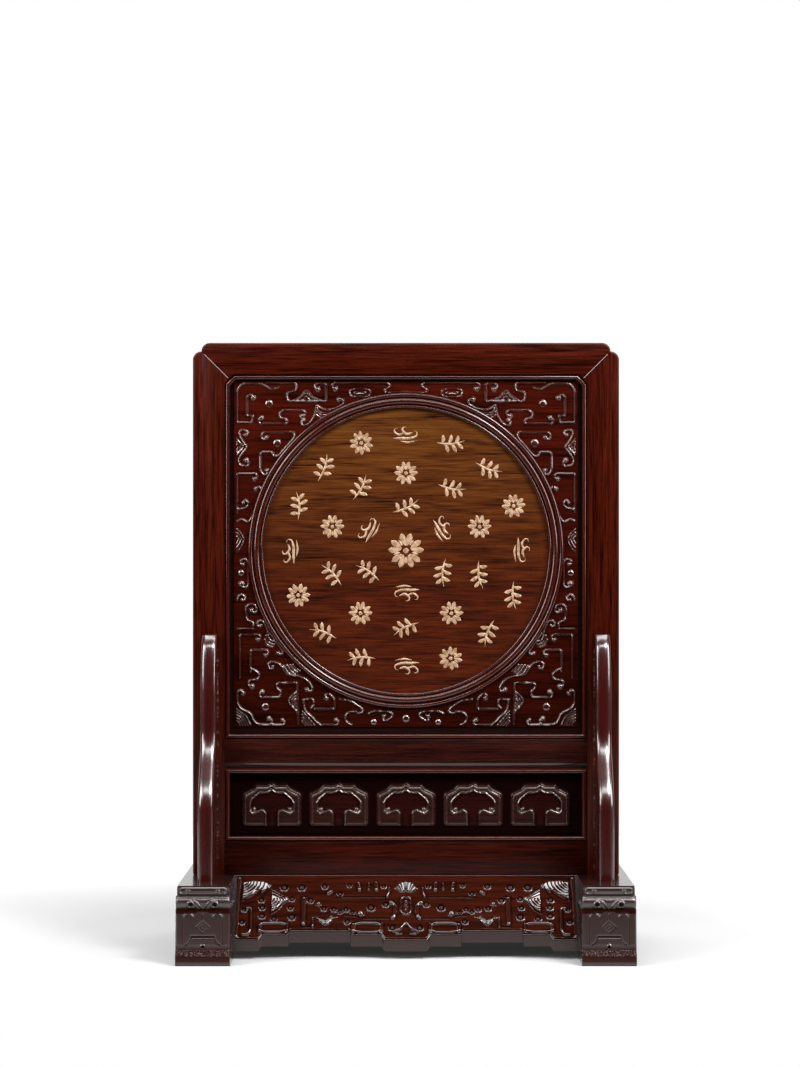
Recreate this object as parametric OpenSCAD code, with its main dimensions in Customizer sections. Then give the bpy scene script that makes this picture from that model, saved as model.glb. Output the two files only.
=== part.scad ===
// Hardwood table screen: a mitred, beaded frame with a roundel panel above and a waist panel
// of ruyi heads below, standing on two scrolled plinth feet with brackets and sloping aprons.
// Millimetres. The origin is on the table, midway between the feet. The front faces -Y.

/* [Frame] */
// Width across the two stiles
frame_w = 250; // [220:1:300]
// Depth of stiles and rails from front to back
frame_d = 22; // [20:0.5:28]
// Face width of a stile
stile_w = 18.5; // [17:0.5:24]
// Face height of the top rail
top_rail_h = 18.5; // [17:0.5:24]
// Face height of the middle rail
middle_rail_h = 17; // [15:0.5:22]
// Face height of the lower rail
lower_rail_h = 19.3; // [16:0.1:24]
// Height of the roundel panel's opening, from rail face to rail face
main_h = 214.2; // [205:0.1:250]
// Height of the waist panel's opening, from rail face to rail face
waist_h = 43; // [38:0.5:60]
// Radius of the two lobes at each indented top corner
corner_r = 5; // [2:0.5:7]
// Leg of the cut corners at the top of the roundel panel's opening
opening_cut = 5.4; // [4:0.1:9]
// Radius of the middle rail's lower front and back edges
rail_round_r = 3.5; // [1:0.5:5]

/* [Bead moulding] */
// Width of the bead moulding round each opening
bead_w = 3.1; // [2:0.1:3.6]
// Width of the quirk between a member's face and the bead
quirk_w = 0.6; // [0.3:0.1:1]
// Depth of the quirk below the member's face
quirk_d = 1.6; // [1.5:0.1:2.2]
// Flat left between the bead and the opening
bead_flat = 0.2; // [0.1:0.1:0.4]
// Depth of the bead's axis below the quirk's floor
bead_sink = 0.1; // [0.05:0.01:0.2]

/* [Panels] */
// Depth of the roundel panel's ground below the frame's face
panel_recess = 4; // [2:0.5:5]
// Thickness of the spandrel board
spandrel_t = 6; // [5:0.5:8]
// Thickness of the back board
back_panel_t = 6.5; // [5:0.5:8]
// Depth of the waist panel's ground below the frame's face
waist_recess = 5.5; // [3:0.5:7]
// Length of a panel's tongue in its groove
tongue_l = 4; // [3:0.5:5]
// Thickness of a panel's tongue
tongue_t = 3; // [2:0.5:3.5]
// Room beyond a tongue for the board to swell
swell_room = 0.5; // [0.2:0.1:1]

/* [Roundel] */
// Diameter of the disc inside the ring
disc_d = 167.6; // [140:0.1:172]
// Height of the roundel's centre above the middle of its opening
roundel_rise = 3.7; // [0:0.1:5]
// Depth of the disc's face below the frame's face
disc_recess = 3.8; // [3:0.1:5]
// Width of the ring's lip over the disc's edge
ring_lip = 2.5; // [1.5:0.1:3]
// Depth of the ring's ground below the frame's face
ring_recess = 2.6; // [2.2:0.1:2.9]
// Width of the ring's inner bead
ring_bead_w = 1.7; // [1:0.1:2]
// Width of the ring's broad middle band
ring_band_w = 3.6; // [2.5:0.1:4]
// Width of the ring's outer bead
ring_rim_w = 2.6; // [1.5:0.1:3]
// Width of the quirks between the ring's mouldings
ring_quirk_w = 0.5; // [0.2:0.1:0.8]
// Width of the flange that holds the ring behind the spandrel board
flange_w = 2; // [1:0.1:3]
// Thickness of that flange
flange_t = 2; // [1:0.1:3]

/* [Ruyi heads] */
// Width of a ruyi head
head_w = 34.5; // [26:0.5:44]
// Height of a ruyi head
head_h = 25; // [20:0.5:28]
// Least gap between neighbouring heads and beside the row
head_gap = 5; // [3:0.5:10]
// Relief of the heads above the waist panel's ground
head_relief = 2.2; // [1:0.1:3]
// Width of the raised band round a head's hollow
head_band_w = 4.4; // [3:0.1:5]
// Width of the hollow's stem
head_stem_w = 6.6; // [4:0.1:8]

/* [Feet] */
// Height of a foot
foot_h = 45; // [40:1:60]
// Width of a foot
foot_w = 31; // [27:0.5:40]
// Length of a foot from front to back
foot_l = 129; // [118:1:160]
// Reach of a foot beyond the frame's side
foot_overhang = 5.5; // [3:0.5:8]
// Height of the flat band under a foot's top
band_h = 5.6; // [4:0.1:8]
// Setback of that band from the end of the plinth
band_setback = 4; // [3:0.5:6]
// Inset of that band from the foot's sides
band_inset = 1; // [0.5:0.1:2]
// Radius of the scroll roll under the band
roll_r = 3.8; // [3:0.1:5]
// Reach of the roll beyond the band
roll_proud = 1.8; // [1:0.1:2.5]
// Width of the groove round each scroll eye on a foot's sides
scroll_groove_w = 0.8; // [0.4:0.1:1]
// Height of the plinth at a foot's base
plinth_h = 4.8; // [3:0.1:8]
// Height of the hollow flare above the plinth
flare_h = 4.6; // [3:0.1:8]
// Reach of the flare
flare_reach = 2.4; // [1:0.1:3]
// Chamfer under the plinth's ends
plinth_chamfer = 1; // [0.5:0.1:2]
// Length of the arch under a foot
arch_l = 68; // [50:1:80]
// Height of the arch under a foot
arch_h = 6; // [4.5:0.5:9]

/* [Standing brackets] */
// Height of a bracket above its foot
bracket_h = 141; // [120:1:170]
// Thickness of a bracket
bracket_t = 9; // [7:0.5:13]
// Reach of a bracket's belly in front of the stile
bracket_reach = 34; // [28:0.5:38]
// Reach of a bracket's neck
bracket_neck = 13; // [10:0.5:18]
// Reach of a bracket's tip
bracket_tip = 3; // [2.6:0.1:5]
// Height of the rounded cap at a bracket's top
bracket_cap_h = 40; // [25:1:50]
// Height where the belly's shoulder starts
belly_low = 41; // [36:1:46]
// Height where the belly's shoulder ends in the neck
belly_high = 85; // [75:1:95]
// Crown of a bracket's front face across its thickness
bracket_crown = 2.2; // [1:0.1:2.4]

/* [Aprons] */
// Slope of the aprons below the level, in degrees
apron_slope = 50; // [44:1:54]
// Reach of the apron's highest stretch in front of the frame
apron_reach = 25; // [20:0.5:26]
// Height of the apron's upright front edge
apron_edge_h = 7; // [5:0.1:8]
// Further reach of the cartouche lobes
lobe_step = 1.7; // [1:0.1:2.5]
// Further reach of the centre and end lobes
deep_step = 3.8; // [3:0.1:4.5]
// Half width of the centre lobe
centre_lobe_half = 13.2; // [8:0.1:16]
// Width of the cartouche lobe beside the centre
inner_lobe_w = 18.7; // [12:0.1:24]
// Width of the high stretch
high_stretch_w = 35.7; // [24:0.1:38]
// Width of the outer cartouche lobe
outer_lobe_w = 16.4; // [10:0.1:18]
// Slant of the steps between lobes
step_slant = 2; // [1:0.1:3]
// Reach of the apron's top in front of the frame's face
apron_lip = 0.6; // [0.2:0.1:1]

/* [Joinery] */
// Clearance round tenons, tongues and keys
joint_fit = 0.1; // [0.05:0.01:0.2]
// Thickness of the rails' and mitres' tenons
tenon_t = 8; // [6:0.5:9]
// Length of the rails' tenons
tenon_l = 9; // [6:0.5:11]
// Shoulder beside a tenon
tenon_shoulder = 3.5; // [2.5:0.1:4]
// Width of the hidden tenon in each top mitre
mitre_tenon_w = 8; // [6:0.5:9]
// Wood left above the mitre's tenon
mitre_cover = 6; // [5:0.5:8]
// Side of the square tenon that stands in a foot
post_tenon = 12; // [9:0.5:14]
// Thickness of the wedge at the post tenon's end
wedge_t = 2.4; // [1.5:0.1:3]
// Thickness of the wedge's thin edge
wedge_tip_t = 0.6; // [0.4:0.1:1]
// Height of the wedge
wedge_h = 14; // [10:0.5:18]
// Thickness of the brackets' loose tenons
key_t = 4; // [3:0.5:5]
// Length of a loose tenon, half of it in the stile
key_l = 10; // [7:0.5:11]
// Height of a loose tenon
key_h = 14; // [10:0.5:18]
// Height of the lower loose tenons above the foot
key_low = 32; // [24:1:40]
// Height of the upper loose tenons above the foot
key_high = 105; // [96:1:112]
// Length of a bracket's own tenon in the foot
bracket_tenon_l = 12; // [8:0.5:16]
// Depth of a bracket's own tenon in the foot
bracket_tenon_d = 5; // [3:0.5:8]
// Length of an apron's ends inside the feet
apron_tongue = 3; // [2:0.5:5]
// Thickness of an apron's tongue in the lower rail
rail_tongue_t = 3; // [2:0.5:3.5]
// Height of an apron's tongue in the lower rail
rail_tongue_h = 4; // [2:0.5:5]
// Run of a cut past the face that it opens, and of a tongue or bead into its own board
cut_run = 1; // [0.5:0.1:1.2]

/* [Hidden] */
$fn = 96;

frame_wood = [0.24, 0.08, 0.06];
carved_wood = [0.28, 0.10, 0.07];
roundel_wood = [0.45, 0.25, 0.13];
hidden_wood = [0.55, 0.38, 0.22];

// Levels from the table up
z_lower_top = foot_h + lower_rail_h;
z_waist_top = z_lower_top + waist_h;
z_middle_top = z_waist_top + middle_rail_h;
z_main_top = z_middle_top + main_h;
z_top = z_main_top + top_rail_h;

// Places across and through the frame
half_w = frame_w / 2;
half_d = frame_d / 2;
face_x = half_w - stile_w;
foot_outer_x = half_w + foot_overhang;
foot_inner_x = foot_outer_x - foot_w;
post_x = foot_outer_x - foot_w / 2;
bead_r = (bead_w - quirk_w - bead_flat) / 2;
bead_bend_r = 1.1 * bead_r;
bead_axis = quirk_w + bead_r;
bead_y = half_d - quirk_d;
bead_axis_y = bead_y - bead_sink;

// Depths of the panels, measured towards the front from the frame's middle
spandrel_front = half_d - panel_recess;
spandrel_back = spandrel_front - spandrel_t;
back_panel_back = spandrel_back - back_panel_t;
waist_half_t = half_d - waist_recess;
disc_front = half_d - disc_recess;
ring_ground = half_d - ring_recess;

// Roundel
roundel_z = (z_middle_top + z_main_top) / 2 + roundel_rise;
ring_in_r = disc_d / 2;
ring_band_r = ring_in_r + ring_bead_w + ring_quirk_w + ring_band_w / 2;
ring_rim_r = ring_band_r + ring_band_w / 2 + ring_quirk_w + ring_rim_w / 2;
ring_out_r = ring_rim_r + ring_rim_w / 2;
disc_r = ring_in_r + ring_lip;

// Ruyi heads
waist_clear_w = 2 * (face_x - bead_w);
head_pitch = head_w + head_gap;
head_count = floor((waist_clear_w - head_gap) / head_pitch);
head_z = (z_lower_top + z_waist_top - head_h) / 2;

// Feet
foot_half_l = foot_l / 2;
band_y = foot_half_l - band_setback;
neck_z = foot_h - band_h - 2 * roll_r;
roll_y = band_y + roll_proud - roll_r;
roll_z = foot_h - band_h - roll_r;

// Aprons
apron_top_y = half_d + apron_lip;
apron_high_y = half_d + apron_reach;
apron_lobe_y = apron_high_y + lobe_step;
apron_deep_y = apron_high_y + deep_step;
apron_back_y = apron_top_y - apron_edge_h / tan(apron_slope);
apron_end_x = foot_inner_x + apron_tongue;
rail_tongue_y = (half_d + apron_back_y) / 2;

// Solid of a front-view shape, from one depth to another
module slab(y0, y1) {
    translate([0, y1, 0])
        rotate([90, 0, 0])
            linear_extrude(y1 - y0) children();
}

// Solid of a side-view shape, from one place across to another
module bar(x0, x1) {
    translate([x0, 0, 0])
        rotate([90, 0, 90])
            linear_extrude(x1 - x0) children();
}

// Box between two corners
module box(low, high) {
    translate(low)
        cube(high - low);
}

// Both a shape and its mirror image, front and back or left and right
module both(axis) {
    children();
    mirror(axis) children();
}

// Outline of the roundel panel's opening, drawn in by d, with cut top corners split at the mitre
function main_outline(d) =
    let (x = face_x - d,
         low = z_middle_top + d,
         high = z_main_top - d,
         cut = opening_cut - (2 - sqrt(2)) * d)
    [[-x, low], [x, low], [x, high - cut], [x - cut / 2, high - cut / 2], [x - cut, high],
     [cut - x, high], [cut / 2 - x, high - cut / 2], [-x, high - cut]];

// Outline of the waist panel's opening, drawn in by d
function waist_outline(d) =
    let (x = face_x - d,
         low = z_lower_top + d,
         high = z_waist_top - d)
    [[-x, low], [x, low], [x, high], [-x, high]];

// Half-round bead along side i of an opening, front and back, mitred at both ends
module bead_run(outer, axis, inner, i) {
    j = (i + 1) % len(outer);
    side = axis[j] - axis[i];
    intersection() {
        slab(-half_d, half_d)
            polygon([outer[i], outer[j], inner[j], inner[i]]);
        for (y = [-bead_axis_y, bead_axis_y])
            translate([axis[i].x, y, axis[i].y])
                rotate([0, -atan2(side.y, side.x), 0])
                    bar(-bead_w, norm(side) + bead_w) circle(bead_r);
    }
}

module main_bead(i) {
    bead_run(main_outline(0), main_outline(bead_axis), main_outline(bead_w), i);
}

module waist_bead(i) {
    bead_run(waist_outline(0), waist_outline(bead_axis), waist_outline(bead_w), i);
}

// Ball that rounds the bead's bend at corner i of the main opening, front and back
module main_bead_bend(i) {
    corner = main_outline(bead_axis)[i];
    for (y = [-bead_axis_y, bead_axis_y])
        translate([corner.x, y, corner.y])
            rotate([0, -45 * sign(corner.x), 0]) sphere(bead_bend_r);
}

// Ground of the bead along level side i of an opening, run into the rail by lap
module bead_ground(outer, inner, i, lap) {
    j = (i + 1) % len(outer);
    slab(-bead_y, bead_y)
        polygon([outer[i] + [0, lap], outer[i], inner[i], inner[j], outer[j], outer[j] + [0, lap]]);
}

// Board edge of an outline: its tongue, or with room > 0 the groove that takes it
function tongue_inset(room) = bead_w - tongue_l - room;

module main_groove(front, back) {
    middle = (front + back) / 2;
    half_t = tongue_t / 2 + joint_fit;
    slab(-middle - half_t, half_t - middle)
        polygon(main_outline(tongue_inset(swell_room)));
}

module waist_groove() {
    half_t = tongue_t / 2 + joint_fit;
    slab(-half_t, half_t)
        polygon(waist_outline(tongue_inset(swell_room)));
}

// Grooves for all boards
module panel_grooves() {
    main_groove(spandrel_front, spandrel_back);
    main_groove(spandrel_back, back_panel_back);
    waist_groove();
}

// Wood taken off each top corner so that two quarter-round lobes meet in a notch on the mitre
module corner_notch() {
    slab(-half_d, half_d)
        difference() {
            translate([half_w - 2 * corner_r, z_top - 2 * corner_r])
                square(2 * corner_r);
            translate([half_w - 2 * corner_r, z_top - 2 * corner_r])
                square(corner_r);
            translate([half_w - 2 * corner_r, z_top - corner_r])
                circle(corner_r);
            translate([half_w - corner_r, z_top - 2 * corner_r])
                circle(corner_r);
        }
}

// Hidden tenon of the right-hand mitre, drawn out by grow
module mitre_tenon(grow) {
    low_x = face_x + tenon_shoulder;
    box([low_x - grow, -tenon_t / 2 - grow, z_main_top - opening_cut],
        [low_x + mitre_tenon_w + grow, tenon_t / 2 + grow, z_top - mitre_cover + grow]);
}

// Tenon at the right-hand end of a rail between two levels, drawn out by grow
module rail_tenon(low, high, grow) {
    box([face_x - tenon_t / 2, -tenon_t / 2 - grow, low + tenon_shoulder - grow],
        [face_x + tenon_l + grow, tenon_t / 2 + grow, high - tenon_shoulder + grow]);
}

// Square tenon of the right-hand stile through its foot, drawn out by grow
module post_tenon_block(grow) {
    side = post_tenon / 2 + grow;
    box([post_x - side, -side, arch_h - grow], [post_x + side, side, foot_h + tenon_shoulder]);
}

// Wedge at the lower end of the right-hand post tenon
module post_wedge() {
    slab(-post_tenon / 2, post_tenon / 2)
        translate([post_x, arch_h])
            polygon([[-wedge_t / 2, 0], [wedge_t / 2, 0], [wedge_tip_t / 2, wedge_h],
                     [-wedge_tip_t / 2, wedge_h]]);
}

// Loose tenon of the front right-hand bracket at one height, drawn out by grow
module bracket_key(height, grow) {
    box([post_x - key_t / 2 - grow, -half_d - key_l / 2 - grow, foot_h + height - key_h / 2 - grow],
        [post_x + key_t / 2 + grow, key_l / 2 - half_d + grow, foot_h + height + key_h / 2 + grow]);
}

module front_right_keys(grow) {
    for (height = [key_low, key_high])
        bracket_key(height, grow);
}

// Right-hand stile: face, beads, mitre tenon and post tenon, with all its mortises
module stile() {
    outer = main_outline(0);
    inner = main_outline(bead_w);
    waist_outer = waist_outline(0);
    waist_inner = waist_outline(bead_w);
    difference() {
        union() {
            slab(-half_d, half_d)
                polygon([[half_w, foot_h], [half_w, z_top], outer[3], outer[2], [face_x, foot_h]]);
            slab(-bead_y, bead_y)
                polygon([[half_w, foot_h], [half_w, z_top], inner[3], inner[2], inner[1], outer[1],
                         waist_outer[2], waist_inner[2], waist_inner[1], waist_outer[1],
                         [face_x, foot_h]]);
            main_bead(1);
            main_bead_bend(2);
            main_bead(2);
            waist_bead(1);
            mitre_tenon(0);
            post_tenon_block(0);
        }
        corner_notch();
        panel_grooves();
        rail_tenon(z_waist_top, z_middle_top, joint_fit);
        rail_tenon(foot_h, z_lower_top, joint_fit);
        both([0, 1, 0]) front_right_keys(joint_fit);
        post_wedge();
    }
}

module left_stile() {
    color(frame_wood)
        mirror([1, 0, 0]) stile();
}

module right_stile() {
    color(frame_wood) stile();
}

module top_rail() {
    outer = main_outline(0);
    inner = main_outline(bead_w);
    color(frame_wood)
        difference() {
            union() {
                slab(-half_d, half_d)
                    polygon([[-half_w, z_top], outer[6], outer[5], outer[4], outer[3], [half_w, z_top]]);
                slab(-bead_y, bead_y)
                    polygon([[-half_w, z_top], inner[6], inner[5], inner[4], inner[3], [half_w, z_top]]);
                for (i = [3 : 5])
                    main_bead(i);
                main_bead_bend(4);
                main_bead_bend(5);
            }
            both([1, 0, 0]) {
                corner_notch();
                mitre_tenon(joint_fit);
            }
            panel_grooves();
        }
}

// Section of the middle rail, its lower edges rounded
module middle_rail_section() {
    translate([-half_d, z_waist_top + rail_round_r])
        square([frame_d, middle_rail_h - rail_round_r]);
    translate([rail_round_r - half_d, z_waist_top])
        square([frame_d - 2 * rail_round_r, middle_rail_h]);
    for (y = [rail_round_r - half_d, half_d - rail_round_r])
        translate([y, z_waist_top + rail_round_r]) circle(rail_round_r);
}

module middle_rail() {
    color(frame_wood)
        difference() {
            union() {
                bar(-face_x, face_x) middle_rail_section();
                both([1, 0, 0]) rail_tenon(z_waist_top, z_middle_top, 0);
                bead_ground(main_outline(0), main_outline(bead_w), 0, -cut_run);
                main_bead(0);
                bead_ground(waist_outline(0), waist_outline(bead_w), 2, cut_run);
                waist_bead(2);
            }
            panel_grooves();
        }
}

// Tongue of the front apron in the lower rail, drawn out by grow
module apron_rail_tongue(grow) {
    half_t = rail_tongue_t / 2 + grow;
    length = foot_inner_x - apron_tongue + grow;
    box([-length, -rail_tongue_y - half_t, foot_h - cut_run],
        [length, half_t - rail_tongue_y, foot_h + rail_tongue_h + grow]);
}

module lower_rail() {
    color(frame_wood)
        difference() {
            union() {
                box([-face_x, -half_d, foot_h], [face_x, half_d, z_lower_top]);
                both([1, 0, 0]) rail_tenon(foot_h, z_lower_top, 0);
                bead_ground(waist_outline(0), waist_outline(bead_w), 0, -cut_run);
                waist_bead(0);
            }
            panel_grooves();
            both([0, 1, 0]) apron_rail_tongue(joint_fit);
        }
}

// Board that floats in the main opening between two depths, tongued all round
module main_board(front, back) {
    middle = (front + back) / 2;
    slab(-front, -back)
        polygon(main_outline(bead_w + joint_fit));
    slab(-middle - tongue_t / 2, tongue_t / 2 - middle)
        polygon(main_outline(tongue_inset(0)));
}

// Round bore through the roundel's centre, from depth v0 to depth v1 towards the front
module roundel_bore(r, v0, v1) {
    translate([0, -v0, roundel_z])
        rotate([90, 0, 0]) cylinder(h = v1 - v0, r = r);
}

module spandrel_panel() {
    color(carved_wood)
        difference() {
            main_board(spandrel_front, spandrel_back);
            roundel_bore(ring_out_r + joint_fit, spandrel_back - cut_run, half_d);
            roundel_bore(ring_out_r + flange_w + joint_fit, spandrel_back - cut_run,
                         spandrel_back + flange_t + joint_fit);
        }
}

module back_panel() {
    color(frame_wood) main_board(spandrel_back, back_panel_back);
}

// Section of the ring: radius across, depth towards the front upwards
module ring_section() {
    difference() {
        translate([ring_in_r, spandrel_back])
            square([ring_out_r - ring_in_r, ring_ground - spandrel_back]);
        translate([ring_in_r - cut_run, spandrel_back - cut_run])
            square([ring_lip + joint_fit + cut_run, disc_front - spandrel_back + cut_run]);
    }
    translate([ring_out_r - ring_rim_w, spandrel_back])
        square([ring_rim_w + flange_w, flange_t]);
    translate([ring_in_r + ring_bead_w / 2, ring_ground]) circle(ring_bead_w / 2);
    translate([ring_band_r, ring_ground]) circle(ring_band_w / 2);
    translate([ring_rim_r, ring_ground]) circle(ring_rim_w / 2);
}

module roundel_ring() {
    color(frame_wood)
        translate([0, 0, roundel_z])
            rotate([90, 0, 0])
                rotate_extrude() ring_section();
}

module roundel_disc() {
    color(roundel_wood) roundel_bore(disc_r, spandrel_back, disc_front);
}

// Half of a ruyi head's outline: a straight side, a cusped shoulder and half an ogee point
module head_half() {
    side_h = 0.74 * head_h;
    shoulder_x = 0.26 * head_w;
    shoulder_z = 0.945 * head_h;
    polygon([[0, 0], [head_w / 2, 0], [head_w / 2, 0.68 * head_h], [0.47 * head_w, side_h],
             [0.33 * head_w, 0.85 * head_h], [shoulder_x, shoulder_z], [0.08 * head_w, 0.95 * head_h],
             [0, head_h]]);
}

// Half of a head's hollow: a mushroom cap with a curl under its edge, on an open stem
module hollow_half() {
    cap_x = head_w / 2 - head_band_w;
    cap_z = head_h - head_band_w;
    curl_r = 0.05 * head_w;
    stem_x = head_stem_w / 2;
    polygon([[0, 0], [stem_x, 0], [stem_x, 0.32 * head_h], [0.17 * head_w, 0.39 * head_h],
             [cap_x, 0.37 * head_h], [cap_x, 0.58 * head_h], [0.22 * head_w, 0.76 * head_h],
             [0.07 * head_w, 0.79 * head_h], [0, cap_z]]);
    translate([cap_x - curl_r, 0.37 * head_h]) circle(curl_r);
}

module head_outline() {
    difference() {
        both([1, 0]) head_half();
        both([1, 0]) hollow_half();
    }
}

module waist_panel() {
    front = waist_half_t + head_relief;
    color(carved_wood) {
        slab(-waist_half_t, waist_half_t)
            polygon(waist_outline(bead_w + joint_fit));
        slab(-tongue_t / 2, tongue_t / 2)
            polygon(waist_outline(tongue_inset(0)));
        for (i = [0 : head_count - 1])
            slab(-front, front)
                translate([(i - (head_count - 1) / 2) * head_pitch, head_z]) head_outline();
    }
}

// Side-view section of the front apron as far as its deepest lobe, drawn out by grow
module apron_section(grow) {
    reach = apron_deep_y - apron_top_y + grow;
    drop = reach * tan(apron_slope);
    low_y = -apron_top_y - reach;
    polygon([[-apron_top_y - grow, foot_h + grow], [low_y, foot_h - drop + grow],
             [low_y, foot_h - drop - apron_edge_h - grow], [grow - apron_back_y, foot_h + grow]]);
}

// Half of the front apron's lobed front edge, seen from above
module apron_plan_half() {
    inner_x = centre_lobe_half + inner_lobe_w;
    high_x = inner_x + high_stretch_w;
    outer_x = high_x + outer_lobe_w;
    polygon([[0, 0], [0, -apron_deep_y], [centre_lobe_half - step_slant / 2, -apron_deep_y],
             [centre_lobe_half + step_slant / 2, -apron_lobe_y], [inner_x, -apron_lobe_y],
             [inner_x, -apron_high_y], [high_x, -apron_high_y], [high_x, -apron_lobe_y],
             [outer_x - step_slant / 2, -apron_lobe_y], [outer_x + step_slant / 2, -apron_deep_y],
             [apron_end_x, -apron_deep_y], [apron_end_x, 0]]);
}

module apron() {
    intersection() {
        bar(-apron_end_x, apron_end_x) apron_section(0);
        linear_extrude(foot_h) both([1, 0]) apron_plan_half();
    }
    apron_rail_tongue(0);
}

module front_apron() {
    color(carved_wood) apron();
}

module rear_apron() {
    color(carved_wood)
        mirror([0, 1, 0]) apron();
}

// Lower body of a foot in side view: plinth, hollow flare and leaning face, over the arch
module foot_lower_section() {
    flare_top = plinth_h + flare_h;
    difference() {
        both([1, 0])
            polygon([[0, 0], [foot_half_l - plinth_chamfer, 0], [foot_half_l, plinth_chamfer],
                     [foot_half_l, plinth_h], [foot_half_l - flare_reach, flare_top],
                     [band_y, neck_z], [0, neck_z]]);
        square([arch_l - 2 * arch_h, 2 * arch_h], center = true);
        for (y = [arch_h - arch_l / 2, arch_l / 2 - arch_h])
            translate([y, 0]) circle(arch_h);
    }
}

// Right-hand foot, with the scroll rolls at both ends and the mortises of what it carries
module foot() {
    difference() {
        union() {
            bar(foot_inner_x, foot_outer_x) foot_lower_section();
            box([foot_inner_x + band_inset, -band_y, neck_z],
                [foot_outer_x - band_inset, band_y, foot_h]);
            both([0, 1, 0])
                bar(foot_inner_x + band_inset / 2, foot_outer_x - band_inset / 2)
                    translate([roll_y, roll_z]) circle(roll_r);
        }
        both([0, 1, 0]) {
            scroll_grooves();
            bracket_tenon(joint_fit);
            bar(foot_inner_x - cut_run, apron_end_x + joint_fit) apron_section(joint_fit);
        }
        post_tenon_block(joint_fit);
    }
}

// Round grooves that mark the scroll eye on both sides of one end of a foot
module scroll_grooves() {
    groove_d = band_inset / 2;
    for (x = [foot_inner_x + groove_d, foot_outer_x - 2 * groove_d])
        bar(x, x + groove_d)
            translate([roll_y, roll_z])
                difference() {
                    circle(roll_r - scroll_groove_w);
                    circle(roll_r - 2 * scroll_groove_w);
                }
}

module left_foot() {
    color(frame_wood)
        mirror([1, 0, 0]) foot();
}

module right_foot() {
    color(frame_wood) foot();
}

// Reach of a bracket in front of the stile at one height above the foot
function smooth(t) = let (s = min(max(t, 0), 1)) s * s * (3 - 2 * s);
function cap_share(height) = max(height - bracket_h + bracket_cap_h, 0) / bracket_cap_h;
function bracket_contour(height) =
    let (belly = smooth((belly_high - height) / (belly_high - belly_low)),
         body = bracket_neck + (bracket_reach - bracket_neck) * belly)
    bracket_tip + (body - bracket_tip) * sqrt(1 - pow(cap_share(height), 2));

// One level of a bracket: its crowned front from side to side, closed along the stile
crown_steps = 8;
contour_steps = 36;
function bracket_ring(height) =
    let (front = [for (i = [0 : crown_steps])
            let (angle = 180 * i / crown_steps,
                 setback = bracket_crown * (1 - sin(angle)))
            [-cos(angle) * bracket_t / 2, setback - bracket_contour(height), height]])
    concat([[-bracket_t / 2, 0, height]], front, [[bracket_t / 2, 0, height]]);

// Body of a bracket, lofted through its levels
module bracket_body() {
    count = crown_steps + 3;
    levels = [for (k = [0 : contour_steps]) bracket_h * k / contour_steps];
    points = [for (height = levels) each bracket_ring(height)];
    last = contour_steps * count;
    sides = [for (k = [0 : contour_steps - 1], i = [0 : count - 1])
        let (a = k * count + i, b = k * count + (i + 1) % count)
        [a, a + count, b + count, b]];
    bottom = [for (i = [0 : count - 1]) i];
    top = [for (i = [0 : count - 1]) last + count - 1 - i];
    polyhedron(points, concat(sides, [bottom, top]), convexity = 4);
}

// Tenon under the front right-hand bracket, drawn out by grow
module bracket_tenon(grow) {
    middle = half_d + bracket_reach / 2;
    box([post_x - key_t / 2 - grow, -middle - bracket_tenon_l / 2 - grow, foot_h - bracket_tenon_d - grow],
        [post_x + key_t / 2 + grow, bracket_tenon_l / 2 - middle + grow, foot_h + grow]);
}

// Front right-hand standing bracket
module bracket() {
    difference() {
        union() {
            translate([post_x, -half_d, foot_h]) bracket_body();
            bracket_tenon(0);
        }
        front_right_keys(joint_fit);
    }
}

module front_left_bracket() {
    color(frame_wood)
        mirror([1, 0, 0]) bracket();
}

module front_right_bracket() {
    color(frame_wood) bracket();
}

module rear_left_bracket() {
    color(frame_wood)
        mirror([1, 0, 0]) mirror([0, 1, 0]) bracket();
}

module rear_right_bracket() {
    color(frame_wood)
        mirror([0, 1, 0]) bracket();
}

module bracket_keys() {
    color(hidden_wood)
        both([1, 0, 0]) both([0, 1, 0]) front_right_keys(0);
}

module foot_wedges() {
    color(hidden_wood)
        both([1, 0, 0]) post_wedge();
}

top_rail();
left_stile();
right_stile();
middle_rail();
lower_rail();
spandrel_panel();
roundel_ring();
roundel_disc();
back_panel();
waist_panel();
front_apron();
rear_apron();
left_foot();
right_foot();
front_left_bracket();
front_right_bracket();
rear_left_bracket();
rear_right_bracket();
bracket_keys();
foot_wedges();
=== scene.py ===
"""Looks of a hardwood table screen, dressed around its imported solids. Metres, front facing -Y."""
import math

import bpy
import numpy as np
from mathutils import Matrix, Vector
from mathutils.bvhtree import BVHTree


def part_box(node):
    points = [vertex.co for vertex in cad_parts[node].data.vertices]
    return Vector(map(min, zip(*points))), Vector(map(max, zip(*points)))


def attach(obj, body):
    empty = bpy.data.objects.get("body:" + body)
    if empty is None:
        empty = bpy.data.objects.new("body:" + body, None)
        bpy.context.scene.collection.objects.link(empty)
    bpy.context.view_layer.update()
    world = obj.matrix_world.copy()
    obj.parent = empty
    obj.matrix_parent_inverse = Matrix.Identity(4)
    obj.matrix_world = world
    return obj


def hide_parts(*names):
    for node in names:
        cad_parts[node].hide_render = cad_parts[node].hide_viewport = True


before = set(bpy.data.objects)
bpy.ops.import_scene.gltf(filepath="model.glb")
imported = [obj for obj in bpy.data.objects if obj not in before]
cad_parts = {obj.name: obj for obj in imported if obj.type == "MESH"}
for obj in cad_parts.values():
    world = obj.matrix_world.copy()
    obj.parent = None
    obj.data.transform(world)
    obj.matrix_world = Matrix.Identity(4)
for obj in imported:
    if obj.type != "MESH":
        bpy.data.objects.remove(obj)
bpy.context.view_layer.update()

MM = 0.001
# How far the dressed top rail and the masks stay inside the box of the solids
TOP_WITHIN = 0.03 * MM
MASK_WITHIN = 0.02 * MM

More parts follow.
